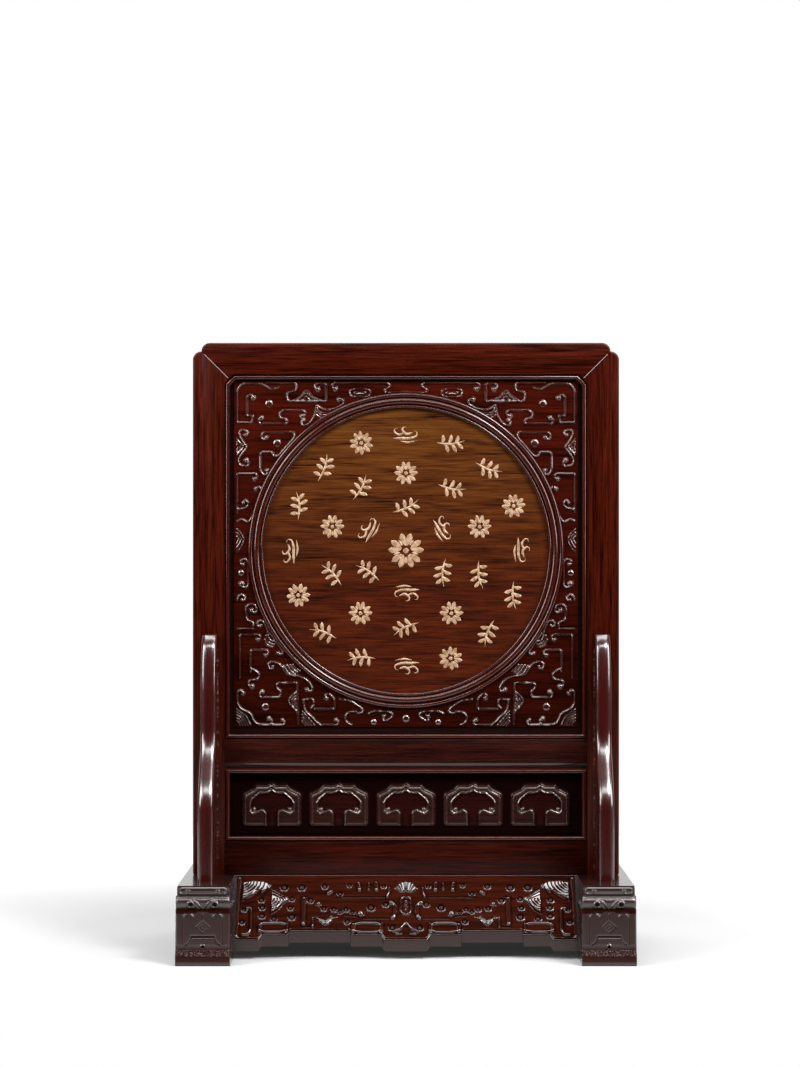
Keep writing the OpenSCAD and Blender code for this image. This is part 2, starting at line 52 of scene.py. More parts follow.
# Levels and places of the frame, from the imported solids; a panel's box ends at its tongue, which
# reaches past the face of the member that holds it
TONGUE_PAST = 0.9 * MM
half_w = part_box("right_stile")[1].x
half_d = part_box("right_stile")[1].y
top_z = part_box("top_rail")[1].z - TOP_WITHIN
foot_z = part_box("lower_rail")[0].z
face_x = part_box("waist_panel")[1].x - TONGUE_PAST
main_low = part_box("spandrel_panel")[0].z + TONGUE_PAST
main_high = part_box("spandrel_panel")[1].z - TONGUE_PAST
waist_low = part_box("waist_panel")[0].z + TONGUE_PAST
waist_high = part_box("waist_panel")[1].z - TONGUE_PAST
board_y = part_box("spandrel_panel")[0].y
ring_low, ring_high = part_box("roundel_ring")
roundel_z = (ring_low.z + ring_high.z) / 2
disc_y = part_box("roundel_disc")[0].y
bracket_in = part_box("front_right_bracket")[0].x
bracket_back = -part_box("front_right_bracket")[1].y

# Mouldings of the frame
CORNER_R = 5 * MM
OPENING_CUT = 5.4 * MM
BEAD_W = 3.1 * MM
BEAD_R = 1.15 * MM
BEAD_FLOOR = 4 * MM
QUIRK_W = 0.6 * MM
QUIRK_D = 1.6 * MM
EDGE_R = 0.35 * MM
OUTER_R = 1.2 * MM
BRACKET_R = 1.7 * MM
MITRE_GAP = 0.12 * MM
RAIL_ROUND = 3.5 * MM


# Materials

def srgb(code):
    """Linear colour of an sRGB hex value."""
    parts = [int(code[i:i + 2], 16) / 255 for i in (1, 3, 5)]
    return (*[c / 12.92 if c <= 0.04045 else ((c + 0.055) / 1.055) ** 2.4 for c in parts], 1)


def feed(tree, node, inputs):
    """Sets a node's sockets to values, or links them to the outputs of other nodes."""
    for socket, value in inputs.items():
        if isinstance(value, bpy.types.NodeSocket):
            tree.links.new(value, node.inputs[socket])
        else:
            node.inputs[socket].default_value = value


def add_node(tree, kind, inputs=None, **settings):
    """Adds a node with its settings and inputs."""
    made = tree.nodes.new(kind)
    for name, value in settings.items():
        setattr(made, name, value)
    feed(tree, made, inputs or {})
    return made


def new_material(name):
    """A material, with its nodes and its shader."""
    material = bpy.data.materials.new(name)
    material.use_nodes = True
    return material, material.node_tree, material.node_tree.nodes["Principled BSDF"]


def grain_scale(grain, width_mm, length_mm):
    """Mapping scale that draws a pattern out along one axis, one unit to each width or length."""
    return [1 / ((length_mm if axis == grain else width_mm) * MM) for axis in "XYZ"]


def hardwood(name, grain, dark, light, pore, roughness, coat, figure_mm=1.8, figure_long=60, contrast=0.2,
             pore_share=0.6, bump=0.25, specular=0.5, shine="#ffffff", coat_ior=1.5, coat_rough=0.09,
             carved=False, rub=None, paler_upwards=None, dust=None):
    """Polished dense hardwood: soft lengthwise figure, fine fibres and short open pores under wax.

    carved darkens the hollows of a carving with painted shade and some dirt, and dulls them. rub (the way
    out, the levels of the ground and of the crests, the share of darker tone below the ground) leaves the
    polish on what stands proud; the darker tone below the ground is painted shade in the recesses of a
    carving, and on the masks a darker base. The tone that pales the wood upwards (tone, low, high) is painted
    light from above where the spandrels use it. dust (middle and half size in x and z) lodges pale specks in
    a crease.
    """
    material, tree, shader = new_material(name)
    place = add_node(tree, "ShaderNodeTexCoord").outputs["Object"]
    # Width and length of each pattern in millimetres, its detail and how far it wanders
    patterns = {"figure": (figure_mm, figure_long, 4.0, 0.7), "fibre": (0.8, 20, 3.0, 0.0),
                "pores": (0.4, 5, 1.0, 0.0)}
    if dust:
        patterns["specks"] = (0.6, 1.8, 2.0, 0.0)
    noise = {}
    for kind, (width_mm, length_mm, detail, wander) in patterns.items():
        space = add_node(tree, "ShaderNodeMapping", {
            "Vector": place, "Scale": grain_scale(grain, width_mm, length_mm)})
        noise[kind] = add_node(tree, "ShaderNodeTexNoise", {
            "Vector": space.outputs[0], "Scale": 1.0, "Detail": detail, "Distortion": wander}).outputs[0]
    blend = add_node(tree, "ShaderNodeMix", {"Factor": 0.5, "A": noise["figure"], "B": noise["fibre"]})
    streaks = add_node(tree, "ShaderNodeMapRange", {
        "Value": blend.outputs[0], "From Min": 0.5 - contrast, "From Max": 0.5 + contrast}).outputs[0]
    pits = add_node(tree, "ShaderNodeMapRange", {
        "Value": noise["pores"], "From Min": 0.62, "From Max": 0.72, "To Max": pore_share}).outputs[0]

    # Tones laid over the dark one, each with its share; and where the polish has lasted
    layers = [(streaks, light), (pits, pore)]
    lasting = []
    # carved: painted shade and some dirt darken the hollows, and their polish is taken off
    if carved:
        depth = {"Value": add_node(tree, "ShaderNodeAttribute", attribute_name="hollow").outputs["Fac"],
                 "From Min": 0.05, "From Max": 0.35}
        shaded = add_node(tree, "ShaderNodeMapRange", {**depth, "To Max": 0.85})
        bare = add_node(tree, "ShaderNodeMapRange", {**depth, "To Min": 1.0, "To Max": 0.0})
        layers.append((shaded.outputs[0], pore))
        lasting.append(bare.outputs[0])
    # rub: the darker tone below the ground is painted shade in a carving's recesses; on the masks it darkens
    # the base
    if rub:
        outwards, ground, crest, darkening_below = rub
        away = add_node(tree, "ShaderNodeVectorMath", {0: place}, operation="ABSOLUTE")
        level = add_node(tree, "ShaderNodeVectorMath", {0: away.outputs[0], 1: outwards},
                         operation="DOT_PRODUCT").outputs["Value"]
        sunk = add_node(tree, "ShaderNodeMapRange", {
            "Value": level, "From Min": ground - 0.4 * MM, "From Max": ground, "To Min": darkening_below, "To Max": 0.0})
        risen = add_node(tree, "ShaderNodeMapRange", {"Value": level, "From Min": ground, "From Max": crest})
        layers.append((sunk.outputs[0], pore))
        lasting.append(risen.outputs[0])
    # A paler tone towards the top: on the spandrels this is painted light from above
    if paler_upwards:
        tone, low, high = paler_upwards
        height = add_node(tree, "ShaderNodeSeparateXYZ", {0: place})
        upwards = add_node(tree, "ShaderNodeMapRange", {
            "Value": height.outputs["Z"], "From Min": low, "From Max": high})
        pale = add_node(tree, "ShaderNodeMath", {0: upwards.outputs[0], 1: streaks}, operation="MULTIPLY")
        layers.append((pale.outputs[0], tone))
    if dust:
        away = add_node(tree, "ShaderNodeVectorMath", {0: place}, operation="ABSOLUTE")
        away = add_node(tree, "ShaderNodeSeparateXYZ", {0: away.outputs[0]})
        lodged = add_node(tree, "ShaderNodeMapRange", {
            "Value": noise["specks"], "From Min": 0.56, "From Max": 0.66, "To Max": 0.35}).outputs[0]
        for axis, middle, half in zip("XZ", *dust):
            inside = add_node(tree, "ShaderNodeMath", {0: away.outputs[axis], 1: middle, 2: half},
                              operation="COMPARE")
            lodged = add_node(tree, "ShaderNodeMath", {0: lodged, 1: inside.outputs[0]},
                              operation="MULTIPLY").outputs[0]
        layers.append((lodged, DUST_TONE))
    # The colours of a Mix node are its inputs 6 and 7 and its output 2
    colour = srgb(dark)
    for share, tone in layers:
        colour = add_node(tree, "ShaderNodeMix", {"Factor": share, 6: colour, 7: srgb(tone)},
                          data_type="RGBA").outputs[2]

    gloss = add_node(tree, "ShaderNodeMapRange", {
        "Value": noise["fibre"], "From Min": 0.3, "From Max": 0.7,
        "To Min": roughness - 0.2 * bump, "To Max": roughness + 0.28 * bump})
    lift = add_node(tree, "ShaderNodeMath", {0: noise["fibre"], 1: pits}, operation="SUBTRACT")
    fibres = add_node(tree, "ShaderNodeBump", {
        "Height": lift.outputs[0], "Strength": bump, "Distance": 0.06 * MM})
    feed(tree, shader, {
        "Base Color": colour, "Roughness": gloss.outputs[0], "Normal": fibres.outputs[0], "IOR": 1.5,
        "Specular IOR Level": specular, "Specular Tint": srgb(shine),
        "Coat Weight": coat, "Coat Roughness": coat_rough, "Coat IOR": coat_ior})
    if lasting:
        polish = lasting[0]
        for other in lasting[1:]:
            polish = add_node(tree, "ShaderNodeMath", {0: polish, 1: other}, operation="MULTIPLY").outputs[0]
        for socket, least, most in (("Specular IOR Level", min(0.05, specular / 2), specular),
                                    ("Coat Weight", 0.0, coat)):
            worn = add_node(tree, "ShaderNodeMapRange", {"Value": polish, "To Min": least, "To Max": most})
            feed(tree, shader, {socket: worn.outputs[0]})
    return material


DUST_TONE = "#a39189"
FRAME_TONES = {"dark": "#120200", "light": "#451105", "pore": "#0a0100"}
# Rail tones: the frame's tones painted darker, as painted shade
SHADED_RAIL_TONES = {"dark": "#0c0201", "light": "#330b04", "pore": "#070100"}
FLAT = {"roughness": 0.3, "coat": 0.0, "specular": 0.1, "contrast": 0.15}
SLOPE = math.radians(50)
SLOPE_OUT = (0, math.sin(SLOPE), math.cos(SLOPE))

# Frame: a deep red-brown with darker streaks along each member and hardly any shine
frame_upright = hardwood("rosewood_upright", "Z", **FLAT, **FRAME_TONES)
frame_level = hardwood("rosewood_level", "X", **FLAT, **FRAME_TONES)
# Stiles: the same, with a dotted pale line of dust in the crease beside each bracket
stile_wood = hardwood("rosewood_stiles", "Z", **FLAT, **FRAME_TONES,
                      dust=((bracket_in - 0.2 * MM, 112 * MM), (0.35 * MM, 66 * MM)))
# Rails: the frame's wood painted darker and browner, as painted shade where they lie in the frame's shade;
# the middle one has a soft grey light on its rounded edge
shaded_rail_wood = hardwood("rosewood_rails_painted_shade", "X", **FLAT, **SHADED_RAIL_TONES)
waxed_shaded_rail = hardwood("waxed_rosewood_rail_painted_shade", "X", **{**FLAT, "coat": 0.6}, **SHADED_RAIL_TONES,
                      coat_ior=1.8, coat_rough=0.2)
# Feet: grey-brown and even, the grey in it a painted reflection of the pale floor, with the dull gleam of
# wood that hands have worn smooth
foot_wood = hardwood("rosewood_feet", "Y", dark="#1f0c0a", light="#2b1512", pore="#120302",
                     roughness=0.24, coat=0.4, specular=0.6, pore_share=0.0, contrast=0.6, bump=0.05)
# Masks: the same grey, a painted reflection, and the same gleam on the high parts; painted shade and some
# dirt in the cuts, painted shade under the roll, a darker base and pale specks of dust along the base
mask_wood = hardwood("rosewood_masks", "Y", dark="#1c0a09", light="#281311", pore="#1d0503",
                     roughness=0.34, coat=0.5, specular=0.7, pore_share=0.0, contrast=0.6, bump=0.05,
                     carved=True, rub=((0, 0, 1), 8.6 * MM, 13 * MM, 0.4),
                     dust=((115 * MM, 7.2 * MM), (15.5 * MM, 1.7 * MM)))
# Apron edges: dark brown under an even sheen
edge_wood = hardwood("rosewood_apron_edges", "X", dark="#170504", light="#280c08", pore="#120302",
                     roughness=0.26, coat=0.2, specular=0.5, pore_share=0.1, contrast=0.5, bump=0.06)
# Brackets: clear red under thick wax, with broad white lights where they bend
bracket_wood = hardwood("rosewood_brackets", "Z", dark="#100000", light="#3e0803", pore="#0a0000",
                        roughness=0.5, coat=1.0, specular=0.02, contrast=0.25, pore_share=0.3, bump=0.05,
                        coat_ior=1.8, coat_rough=0.21)
# Ground behind the spandrels, seen only in the gaps round them: painted nearly black as painted shade in
# those gaps, so that the carving stands out
shaded_ground_wood = hardwood("rosewood_ground_painted_shade", "X", dark="#0b0202", light="#1a0604", pore="#050101",
                       roughness=0.6, coat=0.0, specular=0.05)
# Spandrels: a dull red ground, painted paler towards the top as painted light from above, with painted shade
# in the grooves beside the lines and soft pinkish lights along the raised scrolls
spandrel_wood = hardwood("rosewood_spandrels", "X", dark="#0e0100", light="#2a0803", pore="#070100",
                         roughness=0.28, coat=0.75, specular=1.0, contrast=0.15, pore_share=0.2, bump=0.06,
                         figure_mm=6.0, coat_ior=1.9, rub=((0, 1, 0), 7.88 * MM, 8.3 * MM, 0.5),
                         paler_upwards=("#3f0e06", main_low, main_high), shine="#ffdccf")
# Aprons: a brown-red ground, with hard glints on the raised marks, and painted shade with some dirt in the
# cuts
apron_wood = hardwood("rosewood_aprons", "X", dark="#0f0200", light="#381005", pore="#080100",
                      roughness=0.5, coat=1.0, specular=0.02, contrast=0.18, pore_share=0.5, bump=0.04,
                      figure_mm=2.6, coat_ior=1.8, coat_rough=0.07, carved=True,
                      rub=(SLOPE_OUT, 38.42 * MM, 38.62 * MM, 0.3))
# Waist: a black ground, made blacker by painted shade in the sunk panel, with warm lights along the lines of
# the ruyi heads
waist_wood = hardwood("rosewood_waist", "X", dark="#140303", light="#260a07", pore="#050101",
                      roughness=0.28, coat=0.6, specular=0.8, bump=0.08,
                      rub=((0, 1, 0), 6.2 * MM, 7.0 * MM, 0.8), shine="#ffe0d0")
# Mouldings: the frame's red with a thin bright line along every bead
moulding_wood = hardwood("rosewood_mouldings", "X", roughness=0.25, coat=0.8, specular=0.25, contrast=0.4,
                         pore_share=0.0, bump=0.06, **FRAME_TONES)
# Roundel: golden brown and matt, streaked across, paler towards the top
roundel_wood = hardwood("golden_rosewood", "X", dark="#1d0602", light="#4b1a07", pore="#100301",
                        roughness=0.45, coat=0.0, figure_mm=2.8, figure_long=34, pore_share=0.7,
                        specular=0.06, contrast=0.14,
                        paler_upwards=("#5c3610", roundel_z - 25 * MM, roundel_z + 80 * MM))
# Keys and wedges: pale sawn wood without polish
hidden_wood = hardwood("sawn_hardwood", "Z", dark="#7a5a38", light="#a5825a", pore="#54391f",
                       roughness=0.6, coat=0.0)


def gilding():
    """Matt gilt rubbed into the carving: warm gold with thin places where the ground shows."""
    material, tree, shader = new_material("worn_gilding")
    place = add_node(tree, "ShaderNodeTexCoord").outputs["Object"]
    wear = add_node(tree, "ShaderNodeTexNoise", {
        "Vector": place, "Scale": 1 / (2.2 * MM), "Detail": 4.0}).outputs[0]
    thin = add_node(tree, "ShaderNodeMapRange", {"Value": wear, "From Min": 0.36, "From Max": 0.66})
    colour = add_node(tree, "ShaderNodeMix", {
        "Factor": thin.outputs[0], 6: srgb("#b6967a"), 7: srgb("#876648")}, data_type="RGBA")
    bump = add_node(tree, "ShaderNodeBump", {"Height": wear, "Strength": 0.3, "Distance": 0.1 * MM})
    feed(tree, shader, {"Base Color": colour.outputs[2], "Normal": bump.outputs[0],
                        "Metallic": 0.2, "Roughness": 0.5})
    return material


# Modelling helpers

def edit(piece, mode="EDGE"):
    """Opens one piece in edit mode with nothing selected."""
    bpy.ops.object.select_all(action="DESELECT")
    bpy.context.view_layer.objects.active = piece
    piece.select_set(True)
    bpy.ops.object.mode_set(mode="EDIT")
    bpy.ops.mesh.select_mode(type=mode)
    bpy.ops.mesh.select_all(action="DESELECT")


def leave():
    bpy.ops.object.mode_set(mode="OBJECT")


def edit_all(piece, operation, **options):
    """Does one edit-mode operation on the whole of a piece."""
    edit(piece)
    bpy.ops.mesh.select_all(action="SELECT")
    operation(**options)
    leave()


def add_object(name, data):
    """An object at the origin, in the scene."""
    made = bpy.data.objects.new(name, data)
    bpy.context.scene.collection.objects.link(made)
    return made


def new_piece(name, points, faces, edges=()):
    """A piece from its own points."""
    mesh = bpy.data.meshes.new(name)
    mesh.from_pydata([tuple(p) for p in points], list(edges), list(faces))
    return add_object(name, mesh)


def face_outwards(piece):
    """Joins points that coincide and turns all faces out."""
    edit_all(piece, bpy.ops.mesh.remove_doubles, threshold=0.002 * MM)
    edit_all(piece, bpy.ops.mesh.normals_make_consistent, inside=False)


def bevel_where(piece, chosen, radius, segments):
    """Rounds the edges whose two ends both pass the test."""
    edit(piece)  # nothing is selected after this
    leave()
    points = [v.co for v in piece.data.vertices]
    for edge in piece.data.edges:
        edge.select = all(chosen(points[i]) for i in edge.vertices)
    bpy.ops.object.mode_set(mode="EDIT")
    bpy.ops.mesh.bevel(offset=radius, segments=segments, affect="EDGES")
    leave()


def soften(piece, radius, spare=None, segments=2):
    """Rounds every sharp edge a little, as worn and waxed wood is; spare(point) names a place to leave."""
    edit(piece)
    bpy.ops.mesh.edges_select_sharp(sharpness=math.radians(35))
    leave()
    points = [v.co for v in piece.data.vertices]
    for edge in piece.data.edges:
        if spare and all(spare(points[i]) for i in edge.vertices):
            edge.select = False
    bpy.ops.object.mode_set(mode="EDIT")
    bpy.ops.mesh.bevel(offset=radius, segments=segments, affect="EDGES", clamp_overlap=True)
    leave()


def dress(piece, material, slot, *nodes, even=False):
    """Gives a finished piece its finish, and its place on the part; even keeps large faces flat."""
    bpy.ops.object.select_all(action="DESELECT")
    bpy.context.view_layer.objects.active = piece
    piece.select_set(True)
    bpy.ops.object.shade_smooth_by_angle(angle=math.radians(32))
    if even:
        normals = piece.modifiers.new("even_faces", "WEIGHTED_NORMAL")
        normals.keep_sharp = True
        bpy.ops.object.modifier_apply(modifier=normals.name)
    piece.data.materials.clear()
    piece.data.materials.append(material)
    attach(piece, "root")
    if nodes:
        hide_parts(*nodes)
    return piece


def board(name, outline, half):
    """A solid of a front-view outline, reaching half its depth to the front and to the back."""
    piece = new_piece(name, [(x, -half, z) for x, z in outline], [range(len(outline))])
    edit_all(piece, bpy.ops.mesh.extrude_region_move, TRANSFORM_OT_translate={"value": (0, 2 * half, 0)})
    face_outwards(piece)
    return piece


def arc(centre, radius, start, end, steps=8):
    """Points of an arc, angles in degrees."""
    angles = np.radians(np.linspace(start, end, steps + 1))
    return [(centre[0] + radius * math.cos(a), centre[1] + radius * math.sin(a)) for a in angles]


def mirrored(outline):
    return [(-x, z) for x, z in reversed(outline)]


def rectangle(half, low, high):
    """Corners of a rectangle on the middle line."""
    return [(-half, low), (half, low), (half, high), (-half, high)]


# Frame members

def main_outline(d):
    """Outline of the roundel panel's opening, drawn in by d."""
    x = face_x - d
    low = main_low + d
    high = main_high - d
    cut = OPENING_CUT - (2 - math.sqrt(2)) * d
    return [(-x, low), (x, low), (x, high - cut), (x - cut, high), (cut - x, high), (-x, high - cut)]


def waist_outline(d):
    """Outline of the waist panel's opening, drawn in by d."""
    return rectangle(face_x - d, waist_low + d, waist_high - d)


def stile_outline():
    """Front view of the right-hand stile, with its lobe at the top and the mitre."""
    lobe = arc((half_w - CORNER_R, top_z - 2 * CORNER_R), CORNER_R, 0, 90)
    lobe[-1] = (lobe[-1][0] + MITRE_GAP, lobe[-1][1])
    mitre = (face_x - OPENING_CUT / 2 + MITRE_GAP, main_high - OPENING_CUT / 2)
    return [(face_x, foot_z), (half_w, foot_z), *lobe, mitre, (face_x, main_high - OPENING_CUT)]


def top_outline():
    """Front view of the top rail, mitred at both ends."""
    lobe = arc((half_w - 2 * CORNER_R, top_z - CORNER_R), CORNER_R, 0, 90)
    lobe[0] = (lobe[0][0], lobe[0][1] + MITRE_GAP)
    mitre = (face_x - OPENING_CUT / 2, main_high - OPENING_CUT / 2 + MITRE_GAP)
    half = [(face_x - OPENING_CUT, main_high), mitre, *lobe]
    return half + mirrored(half)


def on_face(co):
    return abs(abs(co.y) - half_d) < 0.01 * MM


def on_right_mitre(co):
    return abs(co.x - face_x - co.z + main_high) < 0.3 * MM and co.x > 0


def make_members():
    """Stiles and rails of the frame, each with softened edges."""
    for side, name in ((1, "right_stile"), (-1, "left_stile")):
        outline = stile_outline() if side > 0 else mirrored(stile_outline())
        piece = board(name + "_dressed", outline, half_d)
        outer_x = half_w - CORNER_R - EDGE_R
        bevel_where(piece, lambda co: on_face(co) and side * co.x > outer_x, OUTER_R, 3)
        soften(piece, EDGE_R / 2, on_right_mitre)
        dress(piece, stile_wood, "frame_wood", name)
    top = board("top_rail_dressed", top_outline(), half_d)
    bevel_where(top, lambda co: on_face(co) and co.z > top_z - CORNER_R - EDGE_R, OUTER_R, 3)
    soften(top, EDGE_R / 2, on_right_mitre)
    dress(top, frame_level, "frame_wood", "top_rail")
    middle = board("middle_rail_dressed", rectangle(face_x, waist_high, main_low), half_d)
    bevel_where(middle, lambda co: on_face(co) and co.z < waist_high + EDGE_R, RAIL_ROUND, 6)
    soften(middle, EDGE_R)
    dress(middle, waxed_shaded_rail, "frame_wood", "middle_rail")
    lower = board("lower_rail_dressed", rectangle(face_x, foot_z, waist_low), half_d)
    soften(lower, EDGE_R)
    dress(lower, shaded_rail_wood, "frame_wood", "lower_rail")


def bead_section():
    """Section of a bead moulding: distance from the member's face inwards, and depth from the middle."""
    ground = half_d - QUIRK_D
    crest = arc((QUIRK_W + BEAD_R, ground - 0.1 * MM), BEAD_R, 180, 0, 10)
    return [(-BEAD_W / 4, BEAD_FLOOR), (-BEAD_W / 4, ground), (QUIRK_W * 0.8, ground), *crest,
            (BEAD_W, ground - 0.1 * MM), (BEAD_W, BEAD_FLOOR)]


def make_bead(name, outline, side):
    """A mitred bead all round an opening, on the front (side -1) or the back."""
    section = bead_section()
    corners = len(outline(0))
    points = [(x, side * depth, z) for d, depth in section for x, z in outline(d)]
    rows = len(section)
    faces = [(r * corners + c, r * corners + (c + 1) % corners,
              (r + 1) % rows * corners + (c + 1) % corners, (r + 1) % rows * corners + c)
             for r in range(rows) for c in range(corners)]
    piece = new_piece(name, points, faces)
    face_outwards(piece)
    dress(piece, moulding_wood, "frame_wood")


make_members()
for bead_side, bead_name in ((-1, "front"), (1, "back")):
    make_bead("main_bead_" + bead_name, main_outline, bead_side)
    make_bead("waist_bead_" + bead_name, waist_outline, bead_side)


# Roundel ring

RING_IN = 83.8 * MM
RING_GROUND = 8.4 * MM
RING_FLOOR = 6 * MM
RING_BEADS = ((84.65 * MM, 0.85 * MM), (87.8 * MM, 1.8 * MM), (91.4 * MM, 1.3 * MM))


def make_ring():
    """The turned ring: three half-rounds spun about the roundel's axis."""
    profile = [(RING_IN, RING_FLOOR)]
    for radius, bead in RING_BEADS:
        profile += arc((radius, RING_GROUND), bead, 180, 0, 10)
    profile.append((profile[-1][0], RING_FLOOR))
    points = [(r, -depth, roundel_z) for r, depth in profile]
    edges = [(i, (i + 1) % len(points)) for i in range(len(points))]
    piece = new_piece("roundel_ring_turned", points, [], edges)
    edit_all(piece, bpy.ops.mesh.spin, steps=192, angle=2 * math.pi, center=(0, 0, roundel_z), axis=(0, 1, 0))
    face_outwards(piece)
    dress(piece, moulding_wood, "frame_wood", "roundel_ring")


make_ring()


# Relief carving

def unit(vector):
    return vector / max(np.hypot(*vector), 1e-9)


def rounded(points, radius):
    """A line through corner points, each corner rounded off by a short curve."""
    points = [np.array(p, float) for p in points]
    path = [points[0]]
    for before, corner, after in zip(points, points[1:], points[2:]):
        start = corner + unit(before - corner) * min(radius, np.hypot(*(before - corner)) / 2)
        end = corner + unit(after - corner) * min(radius, np.hypot(*(after - corner)) / 2)
        for t in (0, 0.25, 0.5, 0.75, 1):
            path.append((1 - t) ** 2 * start + 2 * t * (1 - t) * corner + t * t * end)
    return path + [points[-1]]


def curl(tip, heading, radius):
    """Half a turn that leaves a line's tip, to the left if radius > 0, else to the right."""
    turn = np.sign(radius)
    size = abs(radius)
    left = np.array([-heading[1], heading[0]]) * turn
    centre = tip + left * size
    start = math.atan2(-left[1], -left[0])
    path = []
    for swing in np.linspace(0.4, math.pi, 8):
        angle = start + turn * swing
        path.append(centre + size * (1 - 0.06 * swing) * np.array([math.cos(angle), math.sin(angle)]))
    return path


def scroll(points, start=0, end=0, radius=1.2):
    """A carved line, with a curl of a signed radius at either end."""
    path = rounded(points, radius)
    if end:
        path = path + curl(path[-1], unit(path[-1] - path[-2]), end)
    if start:
        path = curl(path[0], unit(path[0] - path[1]), start)[::-1] + path
    return np.array(path)


def nested(first, last, count):
    """Lines that step evenly from a first to a last one, as the flutes of a fan do."""
    first = np.array(first, float)
    last = np.array(last, float)
    return [first + (last - first) * i / (count - 1) for i in range(count)]


def half_round(away, half):
    """Height of a half-round of height 1 at a distance from its middle."""
    return np.sqrt(np.clip(1 - (away / half) ** 2, 0, 1))


def keep_larger(layer, patch, marks):
    """Lays marks on part of a layer; where marks cross, the larger one counts."""
    layer[patch] = np.maximum(layer[patch], marks)


class Relief:
    """Heights in millimetres over a rectangle of carving, built up mark by mark."""

    def __init__(self, width, height, step):
        self.u = np.linspace(0, width, int(round(width / step)) + 1)
        self.v = np.linspace(0, height, int(round(height / step)) + 1)
        # The last layer is painted shade, which changes no height
        self.base, self.lines, self.cuts, self.painted_shade = np.zeros((4, len(self.v), len(self.u)))

    def around(self, points, reach):
        """The patch of the grid round a line, its coordinates and their distance from the line."""
        points = np.array(points, float)
        low = np.min(points, axis=0) - reach
        high = np.max(points, axis=0) + reach
        columns = slice(*np.searchsorted(self.u, (low[0], high[0])))
        rows = slice(*np.searchsorted(self.v, (low[1], high[1])))
        u, v = np.meshgrid(self.u[columns], self.v[rows])
        away = np.full(u.shape, 1e9)
        for a, b in zip(points, points[1:]):
            run = b - a
            length = max(run @ run, 1e-12)
            t = np.clip(((u - a[0]) * run[0] + (v - a[1]) * run[1]) / length, 0, 1)
            away = np.minimum(away, np.hypot(u - a[0] - t * run[0], v - a[1] - t * run[1]))
        return (rows, columns), (u, v), away

    def ridge(self, points, width=1.4, height=1.05, groove=0.2):
        """A half-round raised line with a fine groove along both sides."""
        half = width / 2
        patch, _, away = self.around(points, 2 * width)
        keep_larger(self.lines, patch, height * half_round(away, half))
        keep_larger(self.cuts, patch, groove * np.exp(-((away - half - 0.3) / 0.4) ** 2))

    def stroke(self, points, start, end, radius):
        """A scrolled line with a ball in each of its curls."""
        path = scroll(points, start, end, radius)
        self.ridge(path)
        for tip, size in ((0, start), (-1, end)):
            if size:
                self.boss(path[tip], 0.75 * abs(size), height=1.2)

    def fan(self, outline, flutes):
        """A raised leaf that climbs towards its foot, with flutes cut into it."""
        patch, (_, v), _ = self.around(outline, 1)
        before = self.base[patch].copy()
        self.body(outline, 1, edge=0.5)
        climb = 0.4 + 0.13 * (v - np.min(outline[:, 1]))
        self.base[patch] = before + (self.base[patch] - before) * climb
        for flute in flutes:
            self.cut(flute, width=0.5, depth=0.4)

    def boss(self, centre, radius, height):
        """A round button."""
        patch, _, away = self.around([centre, centre], 2 * radius)
        keep_larger(self.lines, patch, height * half_round(away, radius))

    def ring(self, centre, radius, depth, rim_height, crescent=False):
        """A drilled cup with a raised rim, all round or only on the side of the larger v."""
        patch, (_, v), away = self.around([centre, centre], 2 * radius)
        rim = rim_height * half_round(away - radius, 0.45)
        if crescent:
            rim *= np.clip(0.3 + (v - centre[1]) / radius, 0, 1)
        keep_larger(self.lines, patch, rim)
        keep_larger(self.cuts, patch, depth * np.clip(1 - (away / (0.9 * radius)) ** 2, 0, 1))

    def cut(self, points, width, depth):
        """A carved groove."""
        patch, _, away = self.around(points, 2 * width)
        keep_larger(self.cuts, patch, depth * np.exp(-(away / (width / 2)) ** 2))

    def paint_shade(self, points, width):
        """Painted shade along a line, as under an overhang, with no change of shape."""
        patch, _, away = self.around(points, width)
        keep_larger(self.painted_shade, patch, np.exp(-(away / (width / 2)) ** 4))

    def body(self, outline, height, edge):
        """A raised form inside an outline, its edge rounded over."""
        closed = np.array([*outline, outline[0]], float)
        patch, (u, v), away = self.around(closed, 1)
        inside = np.zeros(u.shape, bool)
        for a, b in zip(closed, closed[1:]):
            crosses = (a[1] > v) != (b[1] > v)
            rise = b[1] - a[1] if b[1] != a[1] else 1e-12
            inside ^= crosses & (u < a[0] + (v - a[1]) / rise * (b[0] - a[0]))
        share = np.where(inside, np.clip(away / edge, 0, 1), 0)
        self.base[patch] += height * share * (2 - share)

    def open_cuts(self):
        """Depth of the cuts where no raised line covers them."""
        return np.where(self.lines > 0.05, 0, self.cuts)

    def hollows(self):
        """Where shade is painted: in the open cuts, with some dirt, and along the lines of painted shade
        besides.
        """
        return np.maximum(self.open_cuts(), self.painted_shade)

    def heights(self):
        """The finished surface, lightly smoothed."""
        surface = np.maximum(self.base, 0) + self.lines - self.open_cuts()
        padded = np.pad(surface, 1, mode="edge")
        rows, columns = surface.shape
        shifts = [padded[i:i + rows, j:j + columns] for i in range(3) for j in range(3)]
        weights = (1, 2, 1, 2, 4, 2, 1, 2, 1)
        return sum(w * s for w, s in zip(weights, shifts)) / 16


